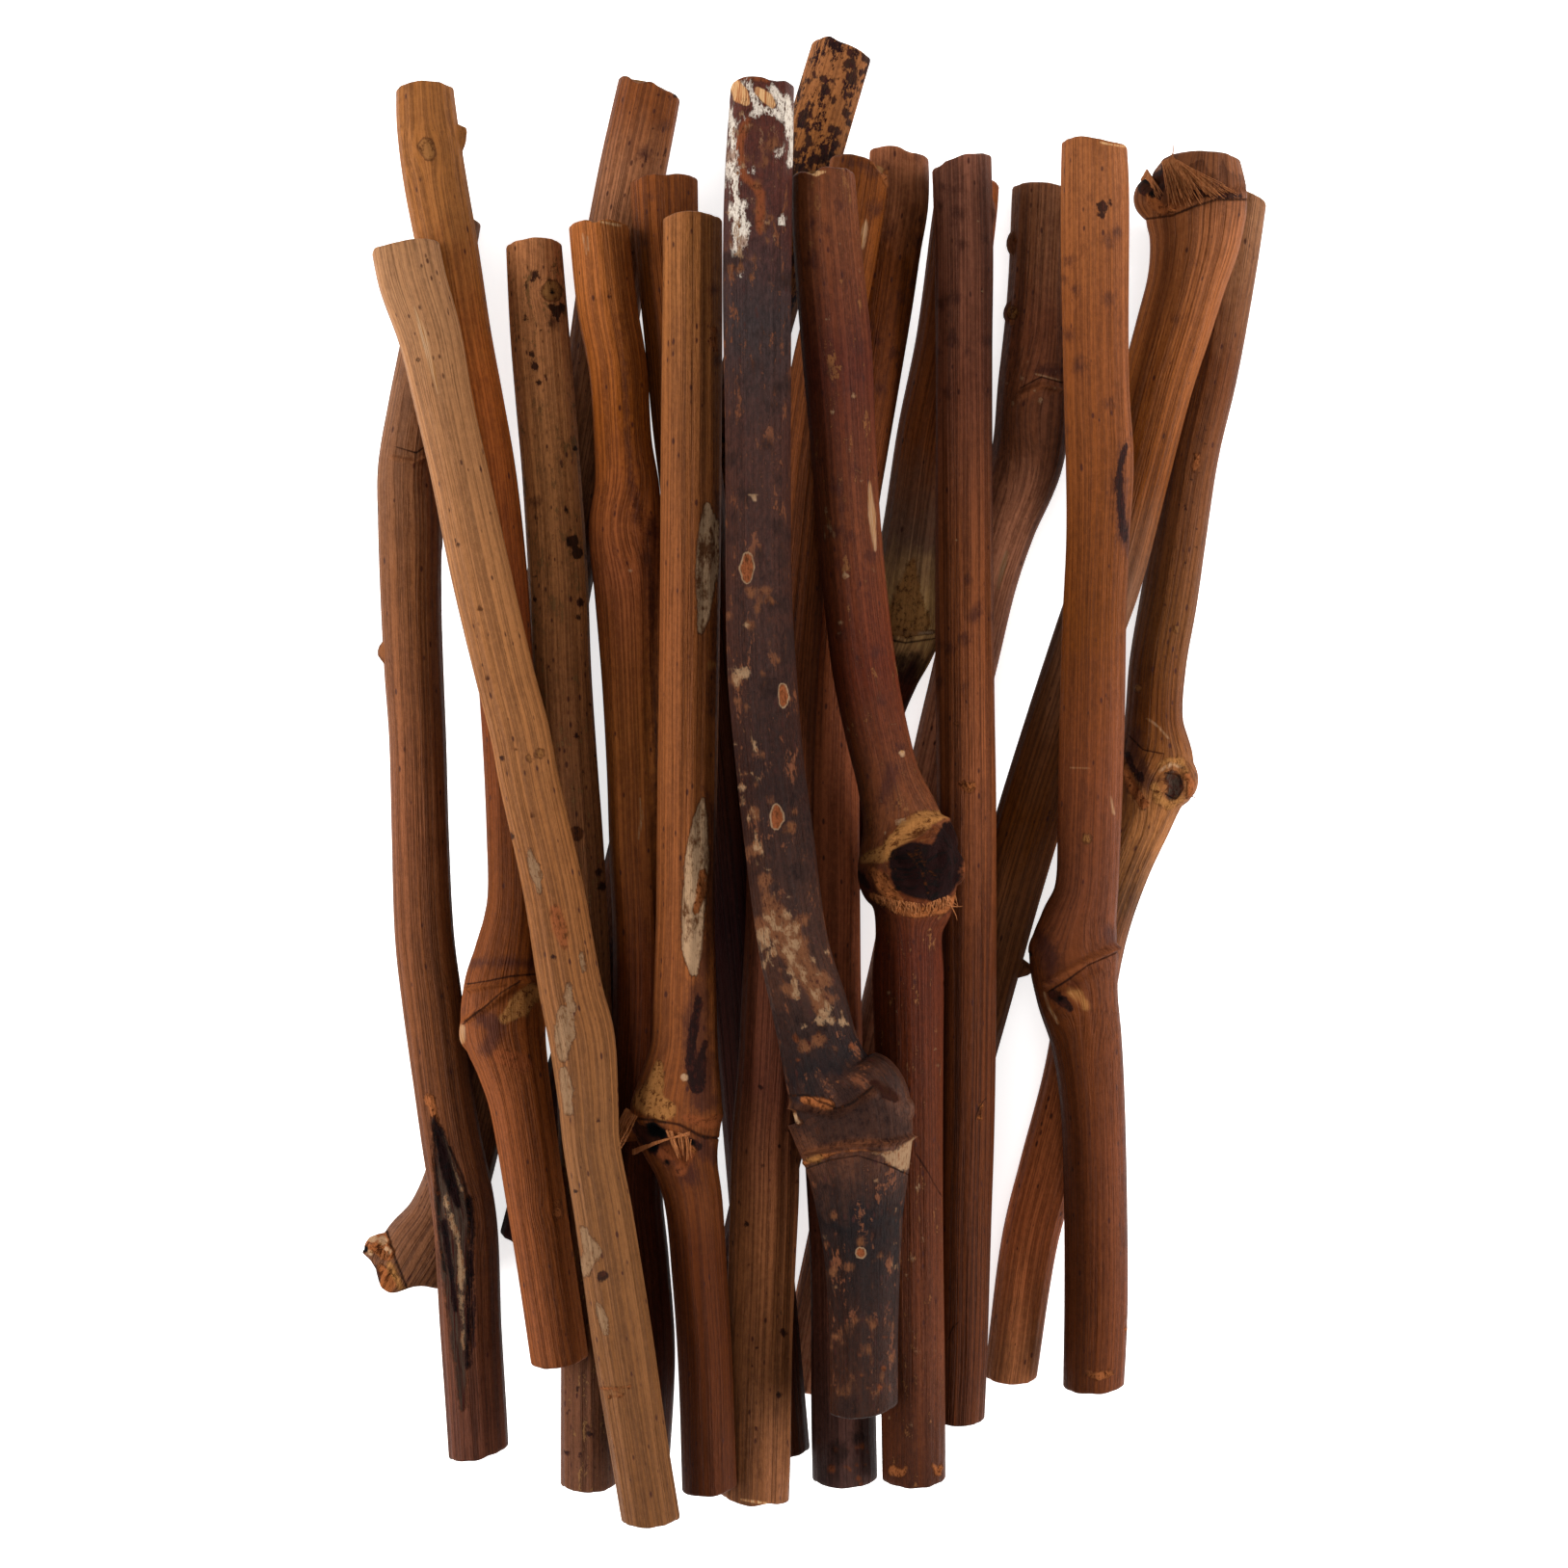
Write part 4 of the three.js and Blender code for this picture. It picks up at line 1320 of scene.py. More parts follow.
class TWIGS_OT_dark_bark(Twig, bpy.types.Operator):
    """Twig with its dark bark left on, lichen at its top and a ringed knuckle, on top in the middle"""

    bl_idname = "twigs.dark_bark"
    bl_label = "Dark Bark Twig"
    node = "dark_bark_twig"
    cuts = (0, -10)
    spine = [
        (791, 82, 66), (787, 193, 70), (786, 300, 71), (787, 450, 69), (788, 620, 68),
        (791, 700, 70), (798, 787, 69), (808, 873, 71), (823, 982, 72), (840, 1045, 78),
        (850, 1085, 81), (860, 1115, 92), (878, 1142, 128), (886, 1172, 124), (891, 1212, 106),
        (893, 1257, 89), (895, 1300, 79), (896, 1380, 71), (896, 1468, 70),
    ]

    def execute(self, context):
        twig = self.start(context)
        twig.lump(940, 1150, 10, 12, 0, 8)
        # Painted shadow: a darkened hollow and a near-black stroke in the gap between the knuckle's plate
        # and the lump
        twig.stroke("dent", (906, 1122, 4), (918, 1132, 5), (932, 1140, 4))
        twig.stroke("blotch", (906, 1123, 3), (918, 1133, 5), (930, 1140, 4))
        twig.chip(0, 0.3, 0.3, 0.7)
        twig.stroke("chip", (762, 88, 6), (768, 98, 9), (774, 105, 5))
        twig.stroke("chip", (786, 94, 4), (796, 102, 6), (802, 110, 3))
        twig.stroke("rust", (760, 80, 2), (780, 80, 3), (796, 84, 2))
        twig.stroke("lichen", (776, 88, 4), (782, 102, 5), (786, 116, 6), (776, 122, 4))
        twig.stroke("lichen", (800, 92, 4), (812, 104, 8), (819, 118, 8), (821, 142, 5), (821, 170, 3))
        twig.stroke("lichen", (786, 114, 4), (800, 114, 4), (814, 122, 5))
        twig.stroke("lichen", (757, 108, 3), (760, 150, 4), (761, 190, 5), (765, 220, 8), (772, 245, 8),
                    (762, 262, 4))
        twig.stroke("rust", (776, 124, 4), (766, 150, 5), (770, 180, 4), (790, 200, 5), (788, 240, 4))
        twig.spots("lichen", (806, 160, 4), (772, 212, 6), (768, 232, 6), (781, 178, 4), (774, 250, 4),
                   (812, 228, 3), (770, 285, 2))
        twig.scatter("peeled", 40, 100, 270, (1, 3.4), (-0.48, 0.3))
        twig.scatter("bark_patch", 30, 130, 300, (1.5, 6), (-0.48, 0.2))
        twig.scatter("soot", 26, 260, 620, (4, 13))
        twig.stroke("pale", (777, 513, 0.8), (788, 512, 0.8))
        twig.spots("pale", (783, 520, 2))
        twig.stroke("lens", (775, 578, 4), (775, 590, 7), (775, 601, 4))
        twig.stroke("lens", (813, 714, 4), (814, 723, 5), (813, 731, 3))
        twig.stroke("lens", (806, 838, 4), (807, 848, 7), (805, 856, 4))
        twig.scatter("bark_patch", 34, 600, 900, (2, 7), (-0.5, 0.3))
        twig.scatter("peeled", 40, 640, 920, (1, 4), (-0.5, -0.2))
        twig.stroke("bark_patch", (793, 922, 5), (804, 950, 12), (820, 984, 15), (838, 1012, 12),
                    (852, 1050, 6))
        twig.scatter("bark_patch", 26, 900, 1090, (3, 9), (-0.48, 0.45))
        twig.scatter("peeled", 50, 915, 1000, (1.5, 5), (-0.48, 0.1))
        twig.scatter("peeled", 40, 980, 1060, (1.5, 5), (-0.2, 0.45))
        twig.scatter("soot", 20, 600, 900, (4, 12), (0, 0.5))
        twig.scatter("soot", 16, 1050, 1200, (5, 14))
        twig.scatter("rust", 4, 1070, 1130, (2, 4))
        twig.scatter("bark_patch", 10, 1210, 1380, (2, 6))
        twig.scatter("peeled", 14, 1210, 1380, (0.6, 1.4))
        twig.scatter("soot", 12, 1230, 1300, (5, 12))
        twig.scatter("bark_patch", 70, 1370, 1450, (0.8, 2.6))
        twig.scatter("rust", 16, 1380, 1450, (1, 3))
        twig.spots("soot", (880, 1460, 12))
        twig.spots("lens", (893, 1300, 5))
        twig.ring("ridge", (809, 1143, 4), (836, 1150, 4), (868, 1156, 5), (905, 1134, 5))
        twig.stroke("torn", (833, 1141, 3), (848, 1143, 6), (862, 1148, 5))
        twig.ring("line", (810, 1137, 1.2), (836, 1136, 1), (868, 1151, 1.6), (885, 1144, 1.4),
                  (905, 1128, 1.2))
        twig.stroke("soot", (822, 1152, 10), (856, 1170, 18), (900, 1158, 24), (930, 1172, 16))
        twig.stroke("torn", (817, 1140, 2), (822, 1150, 3), (830, 1165, 3))
        twig.stroke("pale", (824, 1156, 1.5), (829, 1164, 2))
        twig.ring("torn", (835, 1207, 3), (850, 1201, 2.5), (872, 1195, 1.4), (895, 1193, 1.4),
                  (915, 1196, 2))
        twig.stroke("peeled", (904, 1196, 2), (922, 1199, 5), (938, 1204, 10), (945, 1190, 8))
        twig.stroke("flaxen", (840, 1204, 4), (850, 1202, 3))
        twig.ring("ridge", (838, 1196, 4), (880, 1186, 4), (920, 1186, 4), (948, 1180, 4))
        twig.ring("line", (836, 1213, 0.8), (860, 1204, 0.8), (890, 1199, 0.8), (918, 1208, 0.8),
                  (946, 1220, 0.8))
        wood = Wood(
            [(150, (79, 41, 33)), (330, (55, 44, 43)), (450, (65, 41, 35)), (640, (62, 40, 34)),
             (800, (48, 31, 26)), (1000, (64, 42, 34)), (1100, (34, 25, 22)), (1180, (84, 52, 38)),
             (1260, (32, 25, 23)), (1420, (54, 34, 27))],
            lines=0.25, patchy=0.6, flake=(106, 64, 44), flaky=0.32,
            specks=0.7, grit=1.0, rough=0.45,
        )
        return twig.finish(context, "dark_bark", wood)


class TWIGS_OT_charred_leaning(Twig, bpy.types.Operator):
    """Leaning twig with near-black blotches, mostly hidden"""

    bl_idname = "twigs.charred_leaning"
    bl_label = "Charred Leaning Twig"
    node = "charred_leaning_twig"
    spine = [
        (875, 48, 62), (848, 140, 63), (822, 232, 62), (790, 345, 62), (735, 570, 62),
        (700, 720, 62), (664, 873, 62), (637, 980, 62), (605, 1090, 62), (572, 1200, 62),
        (546, 1292, 60),
    ]

    def execute(self, context):
        twig = self.start(context)
        twig.chip(0, -0.6, 0.3, -0.7)
        twig.scatter("blotch", 210, 50, 240, (1.5, 5.5))
        twig.scatter("blotch", 50, 180, 1280, (2, 7))
        wood = Wood(
            [(80, (142, 90, 54)), (140, (138, 86, 48)), (600, (80, 48, 32)), (1290, (44, 28, 20))],
            lines=0.3, patchy=0.5, flake=(40, 27, 23), flaky=0.55,
            specks=0.6, grit=0.5, rough=0.75,
        )
        return twig.finish(context, "charred_bark", wood)


class TWIGS_OT_heart_knot(Twig, bpy.types.Operator):
    """Red-brown twig with a large black heart-shaped knot"""

    bl_idname = "twigs.heart_knot"
    bl_label = "Heart Knot Twig"
    node = "heart_knot_twig"
    spine = [
        (854, 176, 66), (857, 237, 70), (868, 360, 72), (874, 447, 67), (880, 533, 65),
        (888, 620, 66), (898, 700, 67), (911, 765, 66), (922, 808, 67), (935, 850, 82),
        (941, 884, 100), (943, 910, 104), (946, 938, 86), (943, 965, 68), (942, 1010, 72),
        (943, 1100, 70), (945, 1250, 68), (947, 1400, 66), (948, 1541, 65),
    ]

    def execute(self, context):
        twig = self.start(context)
        twig.lump(958, 896, 40, 31, 80, 22)
        twig.chip(0, -0.35, 0.2, 0.9)
        twig.stroke("chip", (838, 178, 1), (846, 180, 3), (856, 178, 1))
        twig.stroke("torn", (926, 1526, 5), (934, 1529, 4), (940, 1524, 2))
        twig.stroke("torn", (968, 1520, 2), (974, 1528, 4), (978, 1520, 2))
        twig.stroke("streak", (902, 500, 1), (905, 535, 4), (908, 572, 1))
        twig.spots("pale", (936, 782, 3.5))
        twig.stroke("flaxen", (930, 872, 6), (943, 861, 10), (958, 851, 10), (974, 846, 5))
        twig.stroke("flaxen", (895, 892, 4), (908, 888, 8), (921, 884, 9), (927, 872, 6))
        twig.stroke("torn", (906, 904, 5), (917, 920, 8), (932, 936, 6))
        twig.stroke("rust", (984, 860, 2), (995, 884, 3), (997, 914, 3), (988, 940, 3))
        twig.stroke("rust", (912, 908, 6), (918, 925, 6), (935, 944, 6), (962, 946, 5))
        twig.stroke("stain", (893, 905, 6), (900, 925, 8), (915, 945, 6))
        twig.stroke("stain", (925, 800, 7), (915, 830, 5))
        twig.stroke("ridge", (918, 888, 4), (926, 868, 5), (950, 850, 5), (980, 850, 5), (994, 880, 5),
                    (994, 915, 5))
        twig.stroke("dent", (938, 893, 8), (948, 906, 17), (970, 910, 18), (978, 884, 9), (980, 866, 4))
        twig.stroke("char", (936, 895, 14), (948, 906, 24), (968, 910, 25), (979, 888, 16), (981, 868, 8),
                    (980, 856, 3))
        twig.stroke("char", (932, 888, 8), (948, 882, 8), (962, 884, 8))
        twig.stroke("line", (928, 901, 1.2), (944, 903, 1.8), (960, 895, 2), (983, 884, 1.2))
        twig.stroke("line", (942, 884, 1.2), (955, 896, 2), (976, 910, 1.2))
        twig.stroke("line", (953, 878, 1.2), (958, 898, 2), (962, 914, 1.6), (964, 931, 1.2))
        twig.stroke("blotch", (888, 902, 3), (894, 912, 5), (900, 920, 3))
        twig.flow(958, 896, 60, 0.8)
        twig.stroke("torn", (905, 930, 3), (925, 940, 5), (950, 948, 6), (980, 942, 5), (994, 928, 3))
        twig.fringe(90, 0.26, [(908, 928), (928, 934), (960, 938), (992, 926)],
                    [(910, 938), (930, 948), (962, 952), (994, 940)], (0.1, 0.6), 4)
        twig.strand(0.3, (980, 938, 0.2), (990, 942, 0.8), (999, 940, 0.8))
        twig.strand(0.3, (984, 936, 0.2), (992, 948, 0.6), (993, 955, 0.4))
        twig.scatter("peeled", 30, 200, 900, (0.5, 1.6))
        twig.scatter("stain", 30, 200, 820, (2, 8))
        twig.scatter("peeled", 24, 980, 1500, (0.5, 1.4))
        twig.spots("dent", (979, 1020, 3))
        twig.stroke("line", (950, 1196, 0.8), (962, 1215, 0.8), (976, 1240, 0.8))
        wood = Wood(
            [(230, (108, 61, 39)), (380, (84, 43, 33)), (540, (101, 55, 36)), (700, (92, 44, 30)),
             (850, (104, 60, 38)), (990, (84, 40, 17)), (1200, (84, 43, 27)), (1400, (96, 53, 35)),
             (1520, (75, 41, 24))],
            lines=0.3, patchy=0.55, flake=(120, 76, 46), flaky=0.12,
            specks=0.4, grit=0.5,
        )
        return twig.finish(context, "red_wood", wood)


class TWIGS_OT_chipped_red(Twig, bpy.types.Operator):
    """Twig with a chipped reddish top and a broad brown lower end"""

    bl_idname = "twigs.chipped_red"
    bl_label = "Chipped Red Twig"
    node = "chipped_red_twig"
    cuts = (6, 6)
    spine = [
        (893, 165, 62), (888, 200, 64), (866, 325, 63), (852, 385, 62), (838, 470, 62),
        (826, 580, 63), (815, 700, 66), (810, 820, 68), (808, 940, 69), (803, 1035, 68),
        (799, 1112, 68), (794, 1188, 70), (793, 1240, 71), (790, 1329, 70), (787, 1400, 71),
        (784, 1508, 72), (783, 1560, 70),
    ]

    def execute(self, context):
        twig = self.start(context)
        twig.chip(0, 0.75, 0.3, 1.2)
        twig.chip(1, 0.4, 0.35, 0.5)
        twig.stroke("stain", (880, 168, 3), (892, 170, 5), (905, 178, 5))
        twig.stroke("torn", (905, 168, 2), (916, 178, 3), (920, 192, 2))
        twig.stroke("stain", (902, 212, 3), (908, 220, 5), (916, 210, 3))
        twig.stroke("streak", (899, 228, 1), (897, 240, 3), (895, 258, 1))
        twig.stroke("chip", (770, 1556, 1), (795, 1560, 1.2))
        twig.spots("blotch", (813, 1382, 3), (808, 1447, 3), (790, 1128, 3), (792, 1210, 2.5),
                   (775, 1270, 2))
        twig.scatter("blotch", 30, 1120, 1500, (0.6, 1.8))
        # Painted shade: the stop at row 1450 is set darker than the wood, standing in for its neighbours'
        # shade
        wood = Wood(
            [(200, (121, 66, 31)), (1130, (109, 61, 45)), (1300, (156, 96, 60)),
             (1450, (126, 79, 50))],
            lines=0.5, patchy=0.4, specks=0.3, grit=0.35,
        )
        return twig.finish(context, "red_wood", wood)


class TWIGS_OT_dark_red(Twig, bpy.types.Operator):
    """Dark red twig at the back of the middle"""

    bl_idname = "twigs.dark_red"
    bl_label = "Dark Red Twig"
    node = "dark_red_twig"
    cuts = (8, 0)
    spine = [
        (934, 155, 60), (932, 211, 62), (924, 258, 62), (916, 313, 62), (902, 403, 62),
        (891, 468, 62), (881, 527, 62), (868, 640, 62), (861, 800, 63), (861, 940, 64),
        (861, 1036, 64), (865, 1150, 63), (872, 1300, 64), (875, 1450, 66), (877, 1541, 66),
    ]

    def execute(self, context):
        twig = self.start(context)
        twig.chip(0, 0.3, 0.3, 0.6)
        twig.spots("soot", (870, 1505, 11), (890, 1490, 7))
        twig.scatter("stain", 24, 160, 420, (2, 7))
        twig.scatter("rust", 14, 1480, 1540, (1, 4))
        wood = Wood(
            [(200, (150, 91, 60)), (270, (104, 55, 28)), (1000, (143, 78, 51)), (1510, (76, 53, 48))],
            lines=0.35, patchy=0.5, specks=0.3, grit=0.4,
        )
        return twig.finish(context, "red_wood", wood)


class TWIGS_OT_ribbed_straight(Twig, bpy.types.Operator):
    """Straight twig with fine ribs from end to end"""

    bl_idname = "twigs.ribbed_straight"
    bl_label = "Ribbed Straight Twig"
    node = "ribbed_straight_twig"
    cuts = (-14, 0)
    spine = [
        (998, 164, 61), (1000, 260, 61), (1000, 360, 60), (1001, 577, 60), (1002, 720, 60),
        (1003, 850, 61), (1002, 1050, 61), (1000, 1180, 61), (998, 1250, 61), (995, 1400, 59),
        (992, 1477, 58),
    ]

    def execute(self, context):
        twig = self.start(context)
        twig.lump(1027, 222, 13, 6, 85, 2)
        twig.stroke("torn", (999, 813, 3), (1005, 817, 5), (1011, 815, 3))
        twig.stroke("rust", (996, 815, 4), (1010, 818, 4))
        twig.spots("torn", (992, 752, 2), (1018, 1148, 3), (1017, 1160, 3))
        twig.stroke("line", (1012, 1162, 0.5), (1016, 1148, 0.7), (1023, 1140, 0.5))
        twig.stroke("line", (984, 1390, 0.6), (988, 1378, 1), (994, 1372, 0.6))
        twig.spots("pale", (1015, 230, 1.2), (1019, 302, 1.2), (1014, 408, 1), (992, 560, 1))
        twig.scatter("stain", 22, 180, 420, (2, 7))
        twig.scatter("stain", 8, 600, 720, (2, 6))
        wood = Wood(
            [(220, (136, 85, 65)), (400, (118, 68, 48)), (600, (126, 71, 42)), (800, (126, 71, 43)),
             (1000, (90, 48, 29)), (1430, (84, 45, 27))],
            lines=0.6, patchy=0.4, specks=0.2, grit=0.3,
        )
        return twig.finish(context, "red_wood", wood)


class TWIGS_OT_pale_knuckle(Twig, bpy.types.Operator):
    """Twig with a pale striped knuckle, mostly hidden"""

    bl_idname = "twigs.pale_knuckle"
    bl_label = "Pale Knuckle Twig"
    node = "pale_knuckle_twig"
    spine = [
        (1006, 183, 62), (1001, 225, 64), (984, 350, 64), (963, 450, 64), (950, 540, 66),
        (941, 610, 72), (936, 655, 77), (919, 700, 67), (905, 742, 62), (858, 938, 62),
        (838, 1036, 62), (800, 1200, 62), (742, 1448, 60),
    ]

    def execute(self, context):
        twig = self.start(context)
        twig.stroke("flaxen", (948, 580, 2), (944, 610, 12), (940, 640, 22), (955, 645, 12))
        twig.ring("scar", (915, 652, 2), (940, 657, 2.5), (968, 656, 2))
        twig.ring("line", (912, 662, 1), (940, 667, 1.2), (968, 663, 1))
        # Painted shadow: a dark ring just below the knuckle, where its overhang shades the twig
        twig.ring("soot", (908, 690, 12), (945, 692, 16))
        # Painted light and shade: the stop at row 630 is far lighter than the wood, lighting a knuckle that
        # lies in shade, and the dark stop at 690 is the shadow below it
        wood = Wood(
            [(450, (135, 73, 40)), (560, (124, 89, 69)), (630, (224, 172, 112)), (690, (88, 46, 34))],
            lines=0.5, patchy=0.3, specks=0.15, grit=0.3,
        )
        return twig.finish(context, "brown_wood", wood)


class TWIGS_OT_elbow(Twig, bpy.types.Operator):
    """Twig bent like an elbow near its top"""

    bl_idname = "twigs.elbow"
    bl_label = "Elbow Twig"
    node = "elbow_twig"
    cuts = (4, 0)
    spine = [
        (1082, 192, 63), (1077, 300, 65), (1073, 395, 76), (1066, 475, 76), (1040, 545, 69),
        (1022, 600, 67), (1001, 690, 66), (981, 775, 64), (935, 1000, 64), (888, 1200, 62),
        (853, 1360, 62), (836, 1443, 61),
    ]

    def execute(self, context):
        twig = self.start(context)
        twig.lump(1049, 252, 11, 6, 80, 8)
        twig.lump(1047, 325, 10, 7, 80, 10)
        twig.spots("knot", (1050, 324, 6))
        twig.spots("torn", (1049, 334, 3), (1053, 250, 2))
        twig.ring("line", (1060, 402, 0.6), (1080, 391, 0.9), (1102, 397, 0.9))
        twig.ring("ridge", (1056, 412, 4), (1080, 400, 4), (1102, 405, 4))
        twig.stroke("streak", (1074, 388, 0.6), (1090, 392, 0.8), (1100, 395, 0.6))
        twig.stroke("stain", (1095, 385, 6), (1080, 384, 5))
        twig.stroke("streak", (1045, 572, 1.5), (1040, 590, 3), (1035, 612, 1))
        twig.flow(1105, 430, 60, 0.6)
        twig.scatter("peeled", 14, 360, 420, (0.5, 1.2))
        wood = Wood(
            [(230, (133, 85, 58)), (340, (110, 63, 42)), (470, (109, 65, 44)), (590, (208, 136, 101))],
            lines=0.5, patchy=0.4, specks=0.3, grit=0.4,
        )
        return twig.finish(context, "red_wood", wood)


class TWIGS_OT_frayed_knob(Twig, bpy.types.Operator):
    """Twig with a thick head of frayed fibres at its top"""

    bl_idname = "twigs.frayed_knob"
    bl_label = "Frayed Knob Twig"
    node = "frayed_knob_twig"
    cuts = (-8, 0)
    spine = [
        (1247, 160, 80), (1243, 190, 100), (1240, 222, 104), (1239, 250, 94), (1231, 292, 81),
        (1218, 340, 78), (1202, 395, 75), (1175, 500, 72), (1149, 600, 71), (1129, 660, 70),
        (1099, 752, 70), (1072, 835, 69), (1042, 935, 68), (1011, 1055, 66), (960, 1240, 64),
        (904, 1450, 62),
    ]

    def execute(self, context):
        twig = self.start(context)
        twig.lump(1197, 205, 24, 22, 80, 0)
        twig.lump(1064, 1006, 9, 6, 20, 6)
        twig.ring("dent", (1205, 214, 4), (1230, 206, 5), (1260, 199, 5), (1290, 196, 4))
        twig.ring("line", (1190, 227, 1), (1215, 224, 1.2), (1240, 214, 1.4), (1262, 207, 1.4),
                  (1297, 207, 1.2))
        twig.stroke("blotch", (1204, 184, 8), (1222, 188, 13), (1244, 198, 8), (1264, 202, 4),
                    (1286, 203, 3))
        twig.stroke("torn", (1192, 206, 6), (1206, 218, 6), (1220, 214, 5))
        twig.sawn = (0, 1)
        twig.stroke("dent", (1190, 178, 5), (1192, 192, 8), (1203, 188, 6))
        twig.stroke("blotch", (1186, 180, 6), (1188, 196, 8), (1198, 206, 6), (1206, 190, 5))
        twig.spots("hole", (1190, 186, 5), (1196, 202, 4), (1208, 173, 3))
        twig.fringe(120, 0.32, [(1206, 168), (1216, 163), (1222, 168)],
                    [(1212, 214), (1240, 210), (1266, 202)], (0.1, 1.2), 3)
        twig.fringe(50, 0.28, [(1216, 164), (1224, 168)], [(1256, 204), (1290, 202)], (0.1, 0.8), 2)
        twig.fringe(30, 0.3, [(1184, 186), (1190, 176)], [(1192, 214), (1206, 200)], (0.1, 0.8), 3)
        twig.strand(0.25, (1216, 164, 0.4), (1217, 156, 1.5), (1217, 149, 2.0))
        twig.spots("blotch", (1241, 237, 1.2), (1254, 237, 1.2))
        twig.spots("stain", (1221, 332, 3), (1240, 273, 3))
        wood = Wood(
            [(176, (118, 72, 46)), (180, (92, 54, 34)), (232, (142, 85, 51)), (360, (138, 79, 40)),
             (490, (110, 60, 22)), (620, (118, 80, 58)), (850, (106, 58, 28)), (950, (119, 73, 46))],
            lines=0.5, patchy=0.3, specks=0.3, grit=0.3,
        )
        return twig.finish(context, "brown_wood", wood)


class TWIGS_OT_far_right_knuckled(Twig, bpy.types.Operator):
    """Rightmost twig, with an eyed knuckle"""

    bl_idname = "twigs.far_right_knuckled"
    bl_label = "Far Right Knuckled Twig"
    node = "far_right_knuckled_twig"
    cuts = (6, -6)
    spine = [
        (1286, 199, 58), (1272, 290, 58), (1255, 390, 57), (1237, 470, 56), (1224, 550, 56),
        (1212, 625, 58), (1201, 690, 58), (1197, 745, 60), (1198, 796, 80), (1186, 840, 68),
        (1162, 900, 60), (1138, 970, 60), (1112, 1115, 60), (1088, 1210, 60), (1069, 1285, 58),
        (1048, 1434, 55),
    ]

    def execute(self, context):
        twig = self.start(context)
        twig.lump(1222, 812, 24, 20, 70, 8)
        twig.lump(1174, 798, 26, 18, 40, 6)
        twig.stroke("torn", (1242, 472, 2.5), (1241, 479, 4), (1239, 486, 2.5))
        twig.scatter("blotch", 50, 420, 640, (0.5, 1.4), (-0.1, 0.35))
        twig.spots("knot", (1221, 653, 4), (1180, 714, 4))
        twig.stroke("stain", (1180, 762, 8), (1176, 784, 10), (1190, 812, 8))
        twig.stroke("flaxen", (1202, 794, 2), (1212, 788, 3), (1226, 790, 3), (1232, 800, 2))
        twig.stroke("flaxen", (1198, 816, 3), (1202, 830, 4), (1214, 836, 4), (1226, 830, 3))
        twig.stroke("streak", (1204, 800, 1.5), (1216, 792, 2), (1228, 796, 1.5))
        twig.stroke("weathered", (1214, 806, 4), (1220, 814, 6), (1216, 826, 4))
        twig.stroke("line", (1210, 802, 0.8), (1224, 804, 0.8), (1228, 818, 0.8), (1220, 830, 0.8),
                    (1210, 824, 0.8))
        twig.stroke("blotch", (1170, 782, 3), (1176, 798, 4), (1184, 808, 3))
        twig.stroke("torn", (1233, 804, 3), (1237, 814, 4), (1235, 826, 3))
        twig.fringe(12, 0.4, [(1230, 806), (1232, 826)], [(1240, 804), (1240, 828)], (0.2, 1.0))
        twig.stroke("torn", (1168, 800, 4), (1176, 818, 5), (1186, 834, 5))
        twig.ring("line", (1172, 764, 0.8), (1186, 778, 1), (1206, 782, 0.8))
        twig.stroke("streak", (1190, 745, 0.6), (1202, 754, 0.8), (1212, 766, 0.6))
        twig.flow(1217, 815, 34, 0.7)
        wood = Wood(
            [(230, (136, 92, 63)), (380, (102, 58, 34)), (540, (113, 68, 41)), (640, (113, 69, 38)),
             (740, (103, 57, 21)), (860, (152, 98, 57)), (930, (90, 58, 36)), (1270, (202, 111, 66)),
             (1400, (168, 103, 65))],
            lines=0.45, patchy=0.35, specks=0.4, grit=0.35,
        )
        return twig.finish(context, "brown_wood", wood)


